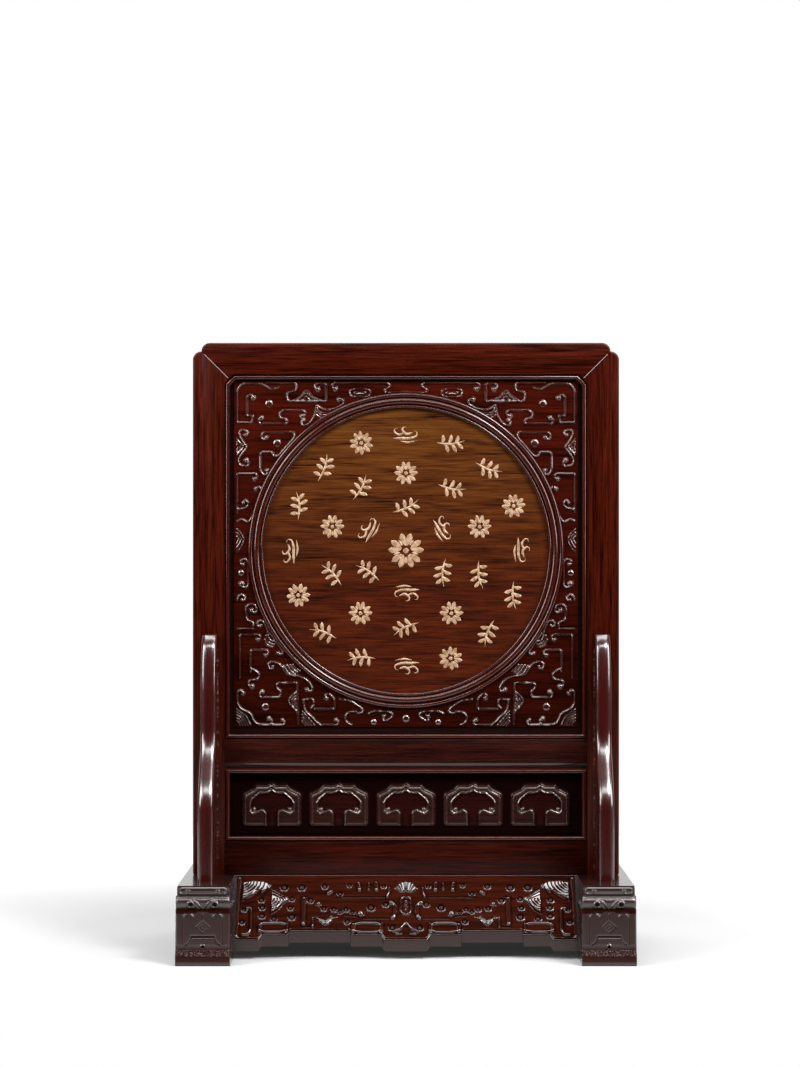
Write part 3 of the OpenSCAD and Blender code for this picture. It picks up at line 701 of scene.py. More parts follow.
def carved_front(name, relief, keep, place):
    """The carved surface alone; place(u, v, h) turns millimetres into points in metres."""
    columns, rows = len(relief.u), len(relief.v)
    bpy.ops.object.select_all(action="DESELECT")
    bpy.ops.mesh.primitive_grid_add(x_subdivisions=columns - 1, y_subdivisions=rows - 1, size=1)
    piece = bpy.context.object
    piece.name = name
    flat = np.zeros(len(piece.data.vertices) * 3, np.float32)
    piece.data.vertices.foreach_get("co", flat)
    flat = flat.reshape(-1, 3)
    column = np.rint((flat[:, 0] + 0.5) * (columns - 1)).astype(int)
    row = np.rint((flat[:, 1] + 0.5) * (rows - 1)).astype(int)
    points = place(relief.u[column], relief.v[row], relief.heights()[row, column])
    piece.data.vertices.foreach_set("co", points.astype(np.float32).ravel())
    # The hollows carry painted shade and some dirt, for the material to darken
    hollow = piece.data.attributes.new("hollow", "FLOAT", "POINT")
    hollow.data.foreach_set("value", relief.hollows()[row, column].astype(np.float32))
    edit(piece, "VERT")  # nothing is selected after this
    leave()
    piece.data.vertices.foreach_set("select", ~keep[row, column])
    bpy.ops.object.mode_set(mode="EDIT")
    bpy.ops.mesh.delete(type="VERT")
    leave()
    return piece


def close_flat(piece, through, normal):
    """Carries the rim of a carved surface back to a plane and fills it there."""
    edit(piece)
    bpy.ops.mesh.select_non_manifold()
    bpy.ops.mesh.extrude_region_move()
    leave()
    through = np.array(through, float)
    normal = np.array(normal, float)
    for vertex in piece.data.vertices:
        if vertex.select:
            point = np.array(vertex.co)
            vertex.co = point - normal * ((point - through) @ normal)
    bpy.ops.object.mode_set(mode="EDIT")
    bpy.ops.mesh.fill(use_beauty=False)
    leave()
    face_outwards(piece)


def close_skin(piece, thickness):
    """Gives a carved surface on a curved face its thickness, inwards."""
    face_outwards(piece)
    bpy.context.view_layer.objects.active = piece
    skin = piece.modifiers.new("skin", "SOLIDIFY")
    skin.thickness = thickness
    skin.offset = -1
    bpy.ops.object.modifier_apply(modifier=skin.name)


# Scrolls of the spandrels: points in millimetres from the opening's lower left corner, the curls
# at the start and at the end, and the radius of the corners
SPANDREL_SCROLLS = [
    ([(4, 183), (4, 202), (7, 206), (18.5, 206), (22, 204), (24.5, 202.5), (28, 203.5)], 0, 0, 2),
    ([(4, 183), (13, 183), (13.5, 186.5)], 0, 0, 1),
    ([(22, 206.3), (39, 206.3), (39, 202), (33.5, 200.7), (33.5, 196.5), (35.5, 195.3), (56.5, 195.3),
      (56.5, 206), (51.5, 206)], 0, 2, 1.2),
    ([(13.5, 186.8), (10, 186.8), (10, 197.5)], 0, -2, 1),
    ([(18.5, 182.3), (34, 182.4), (33.5, 185), (29.5, 185.7), (28.7, 188), (30.8, 190.2), (42.5, 190.2)],
     -1.8, -2, 1.5),
    ([(43.5, 181.3), (46, 181.6), (49.7, 186.6), (51, 193.2)], -1.6, 0, 4),
    ([(51, 193.2), (55.5, 190), (62.3, 191.2), (66, 193.5)], 0, 1.9, 4),
    ([(61.8, 206.3), (93.5, 206.3), (94.2, 204), (91.3, 202.8), (90.6, 201), (92.4, 200.5), (103.4, 200.8)],
     2, 0, 1.2),
    ([(9.6, 178.2), (7, 179), (5, 177), (6, 174.3), (8.3, 170.8), (10.2, 168.5), (7.4, 165.4), (4.8, 161.4),
      (5.3, 158), (9, 157.3)], -1.5, 1.9, 3),
    ([(4, 129.5), (4, 153), (14.5, 153)], 0, -1.8, 1.2),
    ([(18.5, 143), (16.8, 137.5), (13.7, 128.5), (10.7, 123.8), (7, 126.6), (4, 125)], 1.8, 0, 2.5),
    ([(5, 132), (8, 132.5), (10.7, 134), (10.5, 136)], 0, 1.5, 2),
    ([(18.5, 175.3), (19.3, 177.2), (37.5, 177.3), (38, 174.4), (28, 163), (25, 163.8), (25, 165.6),
      (18.6, 165.7), (17.7, 164), (17.7, 155), (19.5, 152.8)], 1.7, 1.6, 1.2),
    ([(10.8, 88), (11, 100.5), (9.6, 103), (7, 102.3)], -2.2, 1.5, 2),
    ([(4.2, 78.7), (5, 81.4), (7, 82.3), (8.7, 80.7)], 0, -1.4, 2),
    ([(13.7, 63.6), (14, 65.4), (9.6, 67.2), (9.2, 74.4), (11, 76.2), (15, 76), (15.8, 73.5)], 0, -1.8, 1.5),
    ([(4.7, 61.7), (13.7, 61.7)], 0, 0, 1),
    ([(5.6, 33), (5.6, 58.4), (16.4, 58.4)], 0, -1.7, 1.2),
    ([(12, 36.6), (12, 49.3), (21, 49.3)], 0, -1.7, 1.2),
    ([(12, 38.4), (14.6, 37.6), (17.7, 35), (16.4, 32), (12.3, 31.6)], 0, 2.1, 3),
    ([(16, 65), (16.8, 66.7), (19.5, 66.7), (21.3, 63.6), (23.6, 59), (26.7, 55.3), (30.8, 49)],
     1.4, -1.6, 4),
    ([(23, 38.8), (22, 41), (24, 42.5), (29, 41.7), (31.7, 38), (34, 34.3), (41, 34.2), (46.4, 31.2),
      (48.3, 27.3)], 1.3, -1.8, 3),
    ([(19, 21.4), (29.4, 21.6), (30, 25), (27.2, 27.4), (27.6, 29.8), (39.5, 30.3), (40, 6)], -1.8, 0, 1.2),
    ([(4.2, 24), (4.2, 17.2), (7.8, 13.8), (12.3, 12.4), (13.7, 7.8), (16.4, 5.4), (23, 5.4)], -1.8, 1.9, 3),
    ([(24.5, 5.4), (30.8, 5.4)], 0, 1.5, 1),
    ([(43, 19.6), (44, 13.2), (47.9, 10.5), (50, 7.8), (53.3, 5.2)], 0, 0, 3),
    ([(42.8, 20), (48.8, 20.8), (49.5, 17), (47.4, 15)], 0, 0, 1.5),
    ([(49.7, 14.5), (61.4, 14.5), (61.3, 21), (58.7, 23.3)], 0, 1.8, 1.5),
    ([(54.6, 5.3), (62.3, 5.3)], 0, 1.6, 1),
    ([(64.7, 20.4), (70.8, 19.8), (77.8, 15), (78.2, 12.4), (75, 12.2)], 0, 0, 2),
    ([(74, 13.3), (69.5, 13), (67.5, 10.5), (68, 7), (71.3, 5.4)], 0, 0, 3),
    ([(81.4, 12), (84.3, 13.7), (94.2, 13.2), (96.2, 10.6), (92, 8)], 0, -1.6, 2),
]
# Fans: the first rib, the last rib and the number of ribs
SPANDREL_FANS = [
    ([(36.6, 195.6), (42.2, 198.6), (44.7, 203), (48.3, 197.8), (54.6, 195.6)],
     [(41.6, 195.6), (43.4, 196.6), (44.7, 198.6), (46, 196.6), (48, 195.6)], 3),
    ([(51.2, 191.4), (53.3, 188.4), (58.7, 188.8)], [(50.2, 187.8), (53, 185.6), (55.5, 185.9)], 3),
    ([(4.2, 173.1), (6.8, 170.4), (8.3, 168.5), (6.2, 166.3), (4.2, 164)],
     [(4.2, 170), (4.7, 169.3), (5.1, 168.5), (4.7, 167.7), (4.2, 167)], 3),
    ([(4, 120.4), (6.9, 117.3), (8.6, 114), (6.5, 109.6), (4, 107)],
     [(4, 116), (4.6, 115.2), (5, 114), (4.6, 112.8), (4, 112)], 3),
    ([(22.2, 60), (23.1, 55), (27.6, 54)], [(20.5, 55.5), (21.5, 52), (25, 51.2)], 3),
    ([(31.7, 40.3), (33.9, 35.8), (36.6, 34.6)], [(37.3, 40.6), (38.8, 38.4), (41.2, 36.9)], 4),
    ([(39.5, 25.3), (33.6, 19.5), (39.3, 13)], [(39.5, 21.3), (37.4, 19.3), (39.5, 17)], 3),
    ([(4, 14.5), (9.6, 10.9), (12.1, 5.4)], [(4, 7.6), (5.1, 6.7), (5.8, 5.4)], 5),
    ([(42.7, 13.2), (46.1, 9.6), (49.7, 5.2)], [(42.7, 7.4), (43.6, 6.5), (44.4, 5.2)], 4),
]
# Buttons: centre and radius
SPANDREL_BOSSES = [((23, 194), 2.1), ((27.8, 170.8), 2.2), ((6.6, 94.6), 1.6), ((20.9, 15.9), 2.1),
                   ((84.5, 7), 1.6), ((103.4, 9), 2)]
# Cartouche above the roundel: half sizes of its two lines, their width and their height
CARTOUCHE_MIDDLE = (76.4, 200.4)
CARTOUCHE_LINES = [(6, 2.4, 1.3, 0.9), (3.2, 0.6, 1.1, 0.7)]
# Bare margins at the side, below and above, and how far the carving's ground stands off the board
SPANDREL_RIM = 2.2
SPANDREL_FLOOR = 4.2
SPANDREL_TOP = 1.2
SPANDREL_PROUD = 0.9
# How far a carved plate reaches into the board behind it
PLATE_SUNK = 0.5 * MM


def oval(centre, half_width, half_height, steps=24):
    """A closed rounded cartouche line."""
    angles = np.linspace(0, 2 * math.pi, steps + 1)
    return np.array([(centre[0] + half_width * np.sign(math.cos(a)) * abs(math.cos(a)) ** 0.6,
                      centre[1] + half_height * np.sign(math.sin(a)) * abs(math.sin(a)) ** 0.6)
                     for a in angles])


def make_spandrels():
    """Carved plates left and right of the roundel, mirror images of each other."""
    width = (face_x - BEAD_W) / MM
    height = (main_high - main_low - 2 * BEAD_W) / MM
    relief = Relief(width, height, step=0.3)
    for points, start, end, radius in SPANDREL_SCROLLS:
        relief.stroke(points, start, end, radius)
    for first, last, count in SPANDREL_FANS:
        for index, rib in enumerate(nested(first, last, count)):
            relief.ridge(scroll(rib, radius=3), width=1.1, height=0.4 if index else 0.9)
    for centre, radius in SPANDREL_BOSSES:
        relief.boss(centre, radius, height=0.7)
    for half_long, half_high, line_width, line_height in CARTOUCHE_LINES:
        relief.ridge(oval(CARTOUCHE_MIDDLE, half_long, half_high), width=line_width, height=line_height)
    u, v = np.meshgrid(relief.u, relief.v)
    centre_v = (roundel_z - main_low - BEAD_W) / MM
    keep = (u > SPANDREL_RIM) & (v > SPANDREL_FLOOR) & (v < height - SPANDREL_TOP)
    keep &= np.hypot(u - width, v - centre_v) > RING_BEADS[2][0] / MM
    for side, name in ((-1, "left"), (1, "right")):
        def place(u_mm, v_mm, h_mm):
            depth = board_y - (SPANDREL_PROUD + h_mm) * MM
            return np.stack([side * (width - u_mm) * MM, depth, main_low + BEAD_W + v_mm * MM], axis=1)
        plate = carved_front("spandrel_carving_" + name, relief, keep, place)
        close_flat(plate, (0, board_y + PLATE_SUNK, 0), (0, 1, 0))
        dress(plate, spandrel_wood, "carved_wood")


make_spandrels()


# Waist: a row of ruyi heads on a sunk ground, front and back

WAIST_HALF = 5.5 * MM
# Ground of the carving over the board, its deepest cut and its bare margin
WAIST_PROUD = 0.25
WAIST_DEEPEST = 0.2
WAIST_MARGIN = 1
HEADS = 5
HEAD_PITCH = 39.5
HEAD_FOOT = 9.0
# Lines of half a head, from its middle and its foot
HEAD_BALL = (10.6, 9.4)
HEAD_OUTER = [(0, 25.1), (2.3, 23.9), (8.9, 23.9), (11, 21.5), (16.6, 18.8), (17.2, 17), (17.2, 1.4),
              (15.8, 0), (3.3, 0)]
HEAD_INNER = [(3.3, 0), (3.4, 7.2), (4.2, 8.8), (6, 9.6), (9, 8.3), (11, 7.4), (12.6, 9), (12.6, 13.5),
              (11.4, 15.6), (7.5, 18.9), (5, 19), (2, 19.4), (0, 20.9)]
HEAD_CONTOUR = [(0, 23.3), (2.5, 22.2), (8.2, 22.2), (10.3, 20), (15.2, 17.6), (15.6, 16), (15.6, 2)]


def make_waist():
    """The sunk board with its heads, each head a pair of bordered C scrolls."""
    low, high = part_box("waist_panel")
    panel = board("waist_board", rectangle(high.x, low.z, high.z), WAIST_HALF)
    soften(panel, EDGE_R / 2)
    dress(panel, waist_wood, "carved_wood", "waist_panel")
    width = 2 * (face_x - BEAD_W) / MM
    height = (waist_high - waist_low - 2 * BEAD_W) / MM
    relief = Relief(width, height, step=0.32)
    for index in range(HEADS):
        middle = width / 2 + (index - (HEADS - 1) / 2) * HEAD_PITCH

        def put(points, side=1):
            return np.array([(middle + side * x, HEAD_FOOT - BEAD_W / MM + z) for x, z in points])
        relief.body(put(HEAD_INNER + mirrored(HEAD_INNER[:-1])), 0.5, edge=2.4)
        for side in (-1, 1):
            relief.body(put(HEAD_OUTER + HEAD_INNER, side), 1.0, edge=0.6)
            relief.ridge(put(HEAD_OUTER, side), width=0.9, height=0.5)
            relief.ridge(put(HEAD_INNER, side), width=1.2, height=1.0)
            relief.ridge(put(HEAD_CONTOUR, side), width=0.8, height=0.35)
            relief.boss(put([HEAD_BALL], side)[0], 1.4, height=1.0)
    u, v = np.meshgrid(relief.u, relief.v)
    keep = (u > WAIST_MARGIN) & (u < width - WAIST_MARGIN) & (v > WAIST_MARGIN) & (v < height - WAIST_MARGIN)
    for side, name in ((-1, "front"), (1, "back")):
        def place(u_mm, v_mm, h_mm):
            depth = side * (WAIST_HALF + (WAIST_PROUD + np.maximum(h_mm, -WAIST_DEEPEST)) * MM)
            return np.stack([(u_mm - width / 2) * MM, depth, waist_low + BEAD_W + v_mm * MM], axis=1)
        plate = carved_front("waist_carving_" + name, relief, keep, place)
        close_flat(plate, (0, side * (WAIST_HALF - PLATE_SUNK), 0), (0, 1, 0))
        dress(plate, waist_wood, "carved_wood")


make_waist()


# Aprons: points are the distance from the middle and the distance down the slope, in millimetres

APRON_BACK = 11.6
APRON_LONG = 44
# Ground of the carving over the solid, its deepest cut, and how far the plate reaches into the solid
APRON_PROUD = 0.6
APRON_DEEPEST = 0.8
APRON_SUNK = 0.4
# Lobes of the lower edge: where each ends, and the length of the slope there
APRON_EDGE = [(13.2, 43.9), (31.9, 40.6), (67.6, 38.0), (84.0, 40.6), (99.3, 43.9)]
# Bars: points and width
APRON_BARS = [
    ([(92.4, 23.6), (90.2, 23.2), (89.7, 25), (89.7, 38.4), (91.4, 41), (94.4, 41.2)], 2.0),
    ([(59.4, 17), (59.4, 33.6)], 3.0), ([(53.8, 31.2), (54, 35.4)], 1.8),
    ([(9, 19.4), (6.8, 20.6), (6.2, 24.4), (6.8, 29), (8, 30)], 2.6),
    ([(27.8, 6.4), (27.2, 10.6)], 2.6), ([(21.6, 6.6), (21.8, 10.4)], 1.8),
    ([(17.4, 6.2), (17.2, 10.6)], 2.6), ([(9.7, 9.8), (9.9, 13), (11, 15.2)], 1.8),
    ([(45.4, 13.4), (43.4, 12)], 2.2),
    ([(84.4, 35), (84.6, 38.2)], 2.6), ([(68.6, 34), (68.4, 38.4)], 1.8),
    ([(30.4, 34.6), (30.4, 38.4)], 2.8), ([(13.9, 34), (13.7, 38.6)], 1.8),
    ([(6.8, 39), (3.4, 37.4), (0.4, 33.4)], 1.8), ([(2.4, 40.4), (5.6, 40.6)], 1.2),
]
# Dark cut lines between the bars
APRON_CUTS = [
    [(39.8, 15.8), (12.6, 15.8), (10.4, 14.4)], [(25, 30.2), (8.4, 30.2)],
    [(60.2, 35.4), (57, 36.2), (54, 35.8)], [(83.4, 32.6), (70, 32.6)], [(29.6, 32.8), (15, 32.8)],
    [(57.4, 15.4), (61, 16)], [(36, 28), (27.6, 29)],
]
# Framed panels: centre and half sizes
APRON_PANELS = [((76.9, 36.1), 8.3, 3), ((22.2, 36.2), 8, 3.1)]
APRON_SIDE_BAR = [(97.3, 3.2), (97.9, 14), (98, 42)]
MEDALLION_DOWN = 21.6
# Cups: centre and radius
APRON_CUPS = [
    ((71, 8.8), 2.6), ((60.8, 8.8), 2.7), ((47.4, 8), 2.2), ((38.4, 13.2), 1.9), ((55.4, 17.6), 2.2),
    ((47.6, 23.2), 2), ((41.8, 23.8), 2), ((38, 25.4), 1.7), ((34.8, 23.8), 2), ((31, 25.8), 1.7),
    ((20.3, 22.4), 2.7), ((11.8, 20.4), 2.2), ((34, 32), 2.1), ((84, 17.3), 2.2), ((83.4, 22.4), 2.2),
    ((83.4, 28), 2.4), ((94.7, 32.2), 2.1), ((67, 22.7), 2), ((66.1, 28.8), 2.6), ((66.4, 16.6), 2.1),
    ((76.3, 30), 2.2), ((93.8, 24), 1.8), ((7.9, 36), 2.4), ((33, 7.4), 1.6), ((13, 8), 1.6),
]
# Balls: centre and radius
APRON_BALLS = [((50.7, 20.4), 1.5), ((26.3, 26.8), 2), ((0, 18.8), 1), ((0, MEDALLION_DOWN), 1),
               ((0, 24.4), 1)]


def quarter(corner, radius):
    """A flute round a fan's corner, from level towards the middle to straight down the slope."""
    turns = np.linspace(0, 1.57, 9)
    return [(corner[0] - radius * math.cos(t), corner[1] + radius * math.sin(t)) for t in turns]


# Fans: the outline of the leaf and its flutes
APRON_FANS = [
    ([(95.3, 5.3), (89.3, 4.3), (82.7, 4.7), (78.8, 6.9), (80, 9.3), (83.9, 12.7), (86, 11.3), (89.3, 14.7),
      (95.2, 18.5)], [quarter((95.3, 5.3), r) for r in (3, 4.5, 6.2, 8.1, 10.2, 12.5, 15)]),
    ([(78.5, 9.8), (74.8, 12.2), (70.2, 15.6), (66.8, 16.8), (69.4, 19.2), (71.9, 21), (74.4, 24.8),
      (77.7, 27.2), (78.5, 26.8)], [quarter((78.5, 17.6), r) for r in (2, 3.7, 5.4, 7.1)]
     + [[(78.3, 11.4), (74.5, 14), (70.2, 17)], [(78.3, 13.6), (74.8, 15.6), (71.4, 17.4)]]),
    ([(54.9, 29.5), (50.4, 31.1), (46.6, 35.5), (42.9, 31.1), (39.2, 29.3), (43, 28.2), (46.6, 31),
      (51, 28.4)],
     nested([(53.4, 29.4), (50, 30.2), (46.6, 34.2), (43.2, 30.2), (40.6, 29.2)],
            [(51.4, 28.8), (49.4, 29.4), (46.6, 31.8), (43.8, 29.4), (42.4, 28.6)], 3)),
    ([(0, 4.6), (3.8, 5.6), (6.6, 9.6), (3.6, 12.6), (0, 12.2)],
     [[(0.7, 12), (1, 5)], [(1.8, 12), (3, 5.8)], [(2.8, 12), (4.8, 7.4)], [(3.6, 12), (6, 9)]]),
]


def apron_edge(a):
    """Length of the slope at a distance from the middle, with slanted steps between the lobes."""
    places = []
    lengths = []
    low = 0
    for end, length in APRON_EDGE:
        places += [low + 1, end - 1]
        lengths += [length, length]
        low = end
    return np.interp(np.abs(a), places, lengths)


def make_aprons():
    """Carving laid on the slopes of the front and rear aprons."""
    half = APRON_EDGE[-1][0]
    relief = Relief(2 * half, APRON_LONG, step=0.3)
    for side in (-1, 1):
        def put(points):
            return np.array([(half + side * a, s) for a, s in np.array(points, float)])
        for points, width in APRON_BARS:
            relief.ridge(put(rounded(points, 1.2)), width=width, height=1.4)
        for points in APRON_CUTS:
            relief.cut(put(rounded(points, 1.2)), width=1.2, depth=0.8)
        for outline, flutes in APRON_FANS:
            relief.fan(put(outline), [put(flute) for flute in flutes])
        for centre, half_long, half_high in APRON_PANELS:
            relief.ridge(put(oval(centre, half_long, half_high)), width=1.8, height=0.8)
        for centre, radius in APRON_CUPS:
            relief.ring(put([centre])[0], radius, 0.8, 0.22, crescent=True)
        for centre, radius in APRON_BALLS:
            relief.boss(put([centre])[0], radius, height=1.5)
        relief.ridge(put(APRON_SIDE_BAR), width=2.6, height=0.9)
        edge = [(a, apron_edge(a) - 0.9) for a in np.linspace(0, half, 160)]
        relief.ridge(put(edge), width=0.9, height=0.35, groove=0.1)
    relief.ridge(oval((half, MEDALLION_DOWN), 3, 5.8), width=1.6, height=1.3)
    u, v = np.meshgrid(relief.u, relief.v)
    keep = (v > 0.6) & (v < apron_edge(u - half) - 0.4) & (u > 0.3) & (u < 2 * half - 0.3)
    down = (math.cos(SLOPE), -math.sin(SLOPE))
    out = SLOPE_OUT[1:]
    for side, name in ((-1, "front"), (1, "rear")):
        def place(u_mm, v_mm, h_mm):
            h_mm = APRON_PROUD + np.maximum(h_mm, -APRON_DEEPEST)
            depth = APRON_BACK + v_mm * down[0] + h_mm * out[0]
            level = foot_z / MM + v_mm * down[1] + h_mm * out[1]
            return np.stack([u_mm - half, side * depth, level], axis=1) * MM
        plate = carved_front("apron_carving_" + name, relief, keep, place)
        sunk = (0, side * (APRON_BACK - APRON_SUNK * out[0]) * MM, foot_z - APRON_SUNK * out[1] * MM)
        close_flat(plate, sunk, (0, side * out[0], out[1]))
        dress(plate, apron_wood, "carved_wood")


make_aprons()


# Feet: an animal mask on each end, laid on the curved face; across and upwards in millimetres

MASK_HALF = 15.3
BAND_HALF = 14.6
MASK_LOW = 5.2
MASK_HIGH = 44.2
UNDER_ROLL = 30.9
ROLL_LOW = 31.6
ROLL_HIGH = 39.6
# Rounding of the mask's sides, on the roll and elsewhere, and how far it falls away there
ROLL_TURN = 2.8
SIDE_TURN = 1.0
SIDE_DROP = 0.9
# How far the mask stands proud of the foot: along the base, and above it
BASE_PROUD = 0.25
FACE_PROUD = 0.95
BASE_TOP = 8
FACE_FULL = 12
MASK_DEEPEST = 0.9
MASK_SKIN = 1.2 * MM
BASE_GRAINS = 260
MASK_RIDGES = [
    [(0, 40.6), (12.6, 40.6), (13.4, 42.2), (12.6, 43.6), (0, 43.6)],
    [(0, 32), (3.3, 36), (5, 36.8)],
    [(5, 33), (6.6, 32.6), (8.4, 33.2)],
    [(5.6, 27.8), (6.5, 29), (8.2, 29.5), (9.9, 29), (10.8, 27.8)],
]
# Cut lines: points, width and depth
MASK_CUTS = [
    ([(0, 29), (0, 26.4)], 0.6, 0.4), ([(0, 25), (3.6, 21.7), (0, 18.4)], 0.7, 0.3),
    ([(0, 23), (1.5, 21.7), (0, 20.4)], 0.7, 0.3), ([(0, 16.2), (6.2, 16.2)], 1.2, 0.7),
    ([(6.4, 15.8), (8, 12.8), (9.8, 11.8)], 0.7, 0.35), ([(11.4, 26.2), (11.4, 12.4)], 0.6, 0.3),
]
# Eyes and balls: centre and radius
MASK_EYES = [((6.8, 34.6), 1.7), ((0, 10.6), 1.2)]
MASK_BALLS = [((8.4, 42.1), 1.2), ((0, 8.2), 0.6)]


def front_depths(node_name, x, levels):
    """Depth of a solid's front face on an upright line, read from the solid."""
    tree = BVHTree.FromObject(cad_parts[node_name], bpy.context.evaluated_depsgraph_get())
    return np.array([tree.ray_cast((x, -1, z), (0, 1, 0))[0].y for z in levels])


def make_masks():
    """The masks on the four foot ends."""
    relief = Relief(2 * MASK_HALF, MASK_HIGH - MASK_LOW, step=0.25)
    for side in (-1, 1):
        def put(points):
            return np.array([(MASK_HALF + side * x, z - MASK_LOW) for x, z in points])
        for points in MASK_RIDGES:
            relief.ridge(put(scroll(points, radius=0.8)), width=1.0, height=0.6)
        for points, width, depth in MASK_CUTS:
            relief.cut(put(points), width=width, depth=depth)
        for centre, radius in MASK_EYES:
            relief.ring(put([centre])[0], radius, 0.7, 0.6)
        for centre, radius in MASK_BALLS:
            relief.boss(put([centre])[0], radius, height=0.7)
        # Painted shade: a dark band under the roll's overhang
        relief.paint_shade(put([(0, UNDER_ROLL + 0.5), (6, UNDER_ROLL + 0.4)]), 1.6)
        relief.paint_shade(put([(4.5, UNDER_ROLL + 0.2), (8, UNDER_ROLL - 0.1), (MASK_HALF, UNDER_ROLL)]), 2.8)
    random = np.random.default_rng(7)
    for _ in range(BASE_GRAINS):
        spot = (random.uniform(0.6, 2 * MASK_HALF - 0.6), random.uniform(0.3, 3.6))
        relief.boss(spot, random.uniform(0.35, 0.55), height=0.2)
    u, v = np.meshgrid(relief.u, relief.v)
    keep = (np.abs(u - MASK_HALF) < BAND_HALF) | (v < ROLL_HIGH - MASK_LOW)
    for node_name in ("left_foot", "right_foot"):
        low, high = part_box(node_name)
        centre = (low.x + high.x) / 2
        levels = relief.v + MASK_LOW
        depths = front_depths(node_name, centre, levels * MM)
        for side, name in ((-1, "_front_mask"), (1, "_rear_mask")):
            def place(u_mm, v_mm, h_mm):
                across = u_mm - MASK_HALF
                level = v_mm + MASK_LOW
                turn = np.where((level > ROLL_LOW) & (level < ROLL_HIGH), ROLL_TURN, SIDE_TURN)
                near_side = np.clip((np.abs(across) - MASK_HALF + turn) / turn, 0, 1)
                drop = SIDE_DROP * (1 - half_round(near_side, 1))
                proud = np.interp(level, (BASE_TOP, FACE_FULL), (BASE_PROUD, FACE_PROUD))
                rise = np.maximum(proud - drop, 0.05) + np.maximum(h_mm, -MASK_DEEPEST)
                out = np.minimum(rise * MM - np.interp(level, levels, depths), high.y - MASK_WITHIN)
                return np.stack([centre + across * MM, side * out, level * MM], axis=1)
            plate = carved_front(node_name + name, relief, keep, place)
            close_skin(plate, MASK_SKIN)
            dress(plate, mask_wood, "frame_wood")


make_masks()


def softened(node_name, radius, material, slot, spare=None, segments=2):
    """A copy of a solid with its edges worn, shown in its place."""
    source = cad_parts[node_name]
    mesh = source.data.copy()
    mesh.transform(source.matrix_world)
    piece = add_object(node_name + "_dressed", mesh)
    face_outwards(piece)
    edit_all(piece, bpy.ops.mesh.dissolve_limited, angle_limit=math.radians(1))
    soften(piece, radius, spare, segments)
    edit_all(piece, bpy.ops.mesh.dissolve_degenerate, threshold=0.001 * MM)
    dress(piece, material, slot, node_name, even=True)


def on_bracket_seat(co):
    """The bracket's faces against the stile and on the foot."""
    return abs(co.y) < bracket_back + EDGE_R or co.z < foot_z + EDGE_R


for foot_name in ("left_foot", "right_foot"):
    softened(foot_name, 0.5 * MM, foot_wood, "frame_wood")
for apron_name in ("front_apron", "rear_apron"):
    softened(apron_name, 0.4 * MM, edge_wood, "carved_wood")
for bracket_name in ("front_left_bracket", "front_right_bracket", "rear_left_bracket", "rear_right_bracket"):
    softened(bracket_name, BRACKET_R, bracket_wood, "frame_wood", on_bracket_seat, 4)


# Gilded sprays on the roundel, in rings round the middle; motifs are drawn about their own centre

def brush(path, width, widest):
    """Points and faces of a raised brush stroke, pointed at both ends and widest at a share of its length."""
    path = np.array(path, float)
    steps = np.hypot(*np.diff(path, axis=0).T)
    along = np.concatenate([[0], np.cumsum(steps)])
    share = np.linspace(0, 1, 13)
    line = np.stack([np.interp(share * along[-1], along, path[:, i]) for i in (0, 1)], axis=1)
    heading = np.gradient(line, axis=0)
    heading /= np.hypot(*heading.T)[:, None]
    across = np.stack([-heading[:, 1], heading[:, 0]], axis=1)
    swell = np.where(share < widest, share / widest, (1 - share) / (1 - widest))
    half = np.maximum(width / 2 * np.sin(swell * math.pi / 2) ** 0.7, 0.12)
    points = []
    for spot, side, reach in zip(line, across, half):
        points += [(*(spot - side * reach), 0), (*spot, 0.28), (*(spot + side * reach), 0), (*spot, -0.2)]
    faces = [(4 * i + j, 4 * i + (j + 1) % 4, 4 * i + 4 + (j + 1) % 4, 4 * i + 4 + j)
             for i in range(len(line) - 1) for j in range(4)]
    last = 4 * (len(line) - 1)
    return points, faces + [(3, 2, 1, 0), (last, last + 1, last + 2, last + 3)]


def blossom():
    """Five notched petals round a dotted heart."""
    strokes = []
    for angle in np.radians(90 + 72 * np.arange(5)):
        for lean in (-0.27, 0.27):
            tip = (7 * math.cos(angle + lean), 7 * math.sin(angle + lean))
            root = (1.9 * math.cos(angle + lean / 4), 1.9 * math.sin(angle + lean / 4))
            strokes.append(([root, (tip[0] * 0.6, tip[1] * 0.6), tip], 2.3, 0.65))
        spot = (3.4 * math.cos(angle + 0.63), 3.4 * math.sin(angle + 0.63))
        strokes.append(([(spot[0] * 0.7, spot[1] * 0.7), (spot[0] * 1.5, spot[1] * 1.5)], 0.9, 0.5))
    strokes.append(([(-1.2, 0), (1.2, 0)], 2.2, 0.5))
    return strokes


def sprig():
    """A bending stem with paired leaves."""
    stem = rounded([(-7.5, -3), (-2, -1.6), (3, 0.6), (7.2, 4.4)], 3)
    strokes = [(stem, 1.3, 0.4)]
    for root, tip in (((-4.5, -2.2), (-6, 2.6)), ((-1, -1.2), (-1.4, 4.6)), ((2.4, 0.4), (2.6, 5.8)),
                      ((-3, -1.8), (0.8, -5.8)), ((0.8, -0.4), (5.2, -4)), ((3.6, 1.2), (8, -0.6))):
        middle = ((root[0] + tip[0]) / 2 + 0.7, (root[1] + tip[1]) / 2)
        strokes.append((rounded([root, middle, tip], 2), 2.1, 0.6))
    return strokes


def cloud():
    """A drifting cloud: three curls on a trailing band."""
    return [(scroll([(-7.8, -2.6), (-3, -2.4), (2, -2.6), (5.4, -1.6)], 0, 1.9, 2), 1.5, 0.3),
            (scroll([(4, 1), (0.6, -0.4), (-1.6, 1.4)], 0, -1.7, 2), 1.4, 0.3),
            (scroll([(0, 1.2), (-4.4, -0.8), (-6.6, 1.2)], 0, -1.4, 2), 1.2, 0.3),
            ([(-3.4, -4.2), (1, -4.9), (6.4, -4)], 1.1, 0.4)]


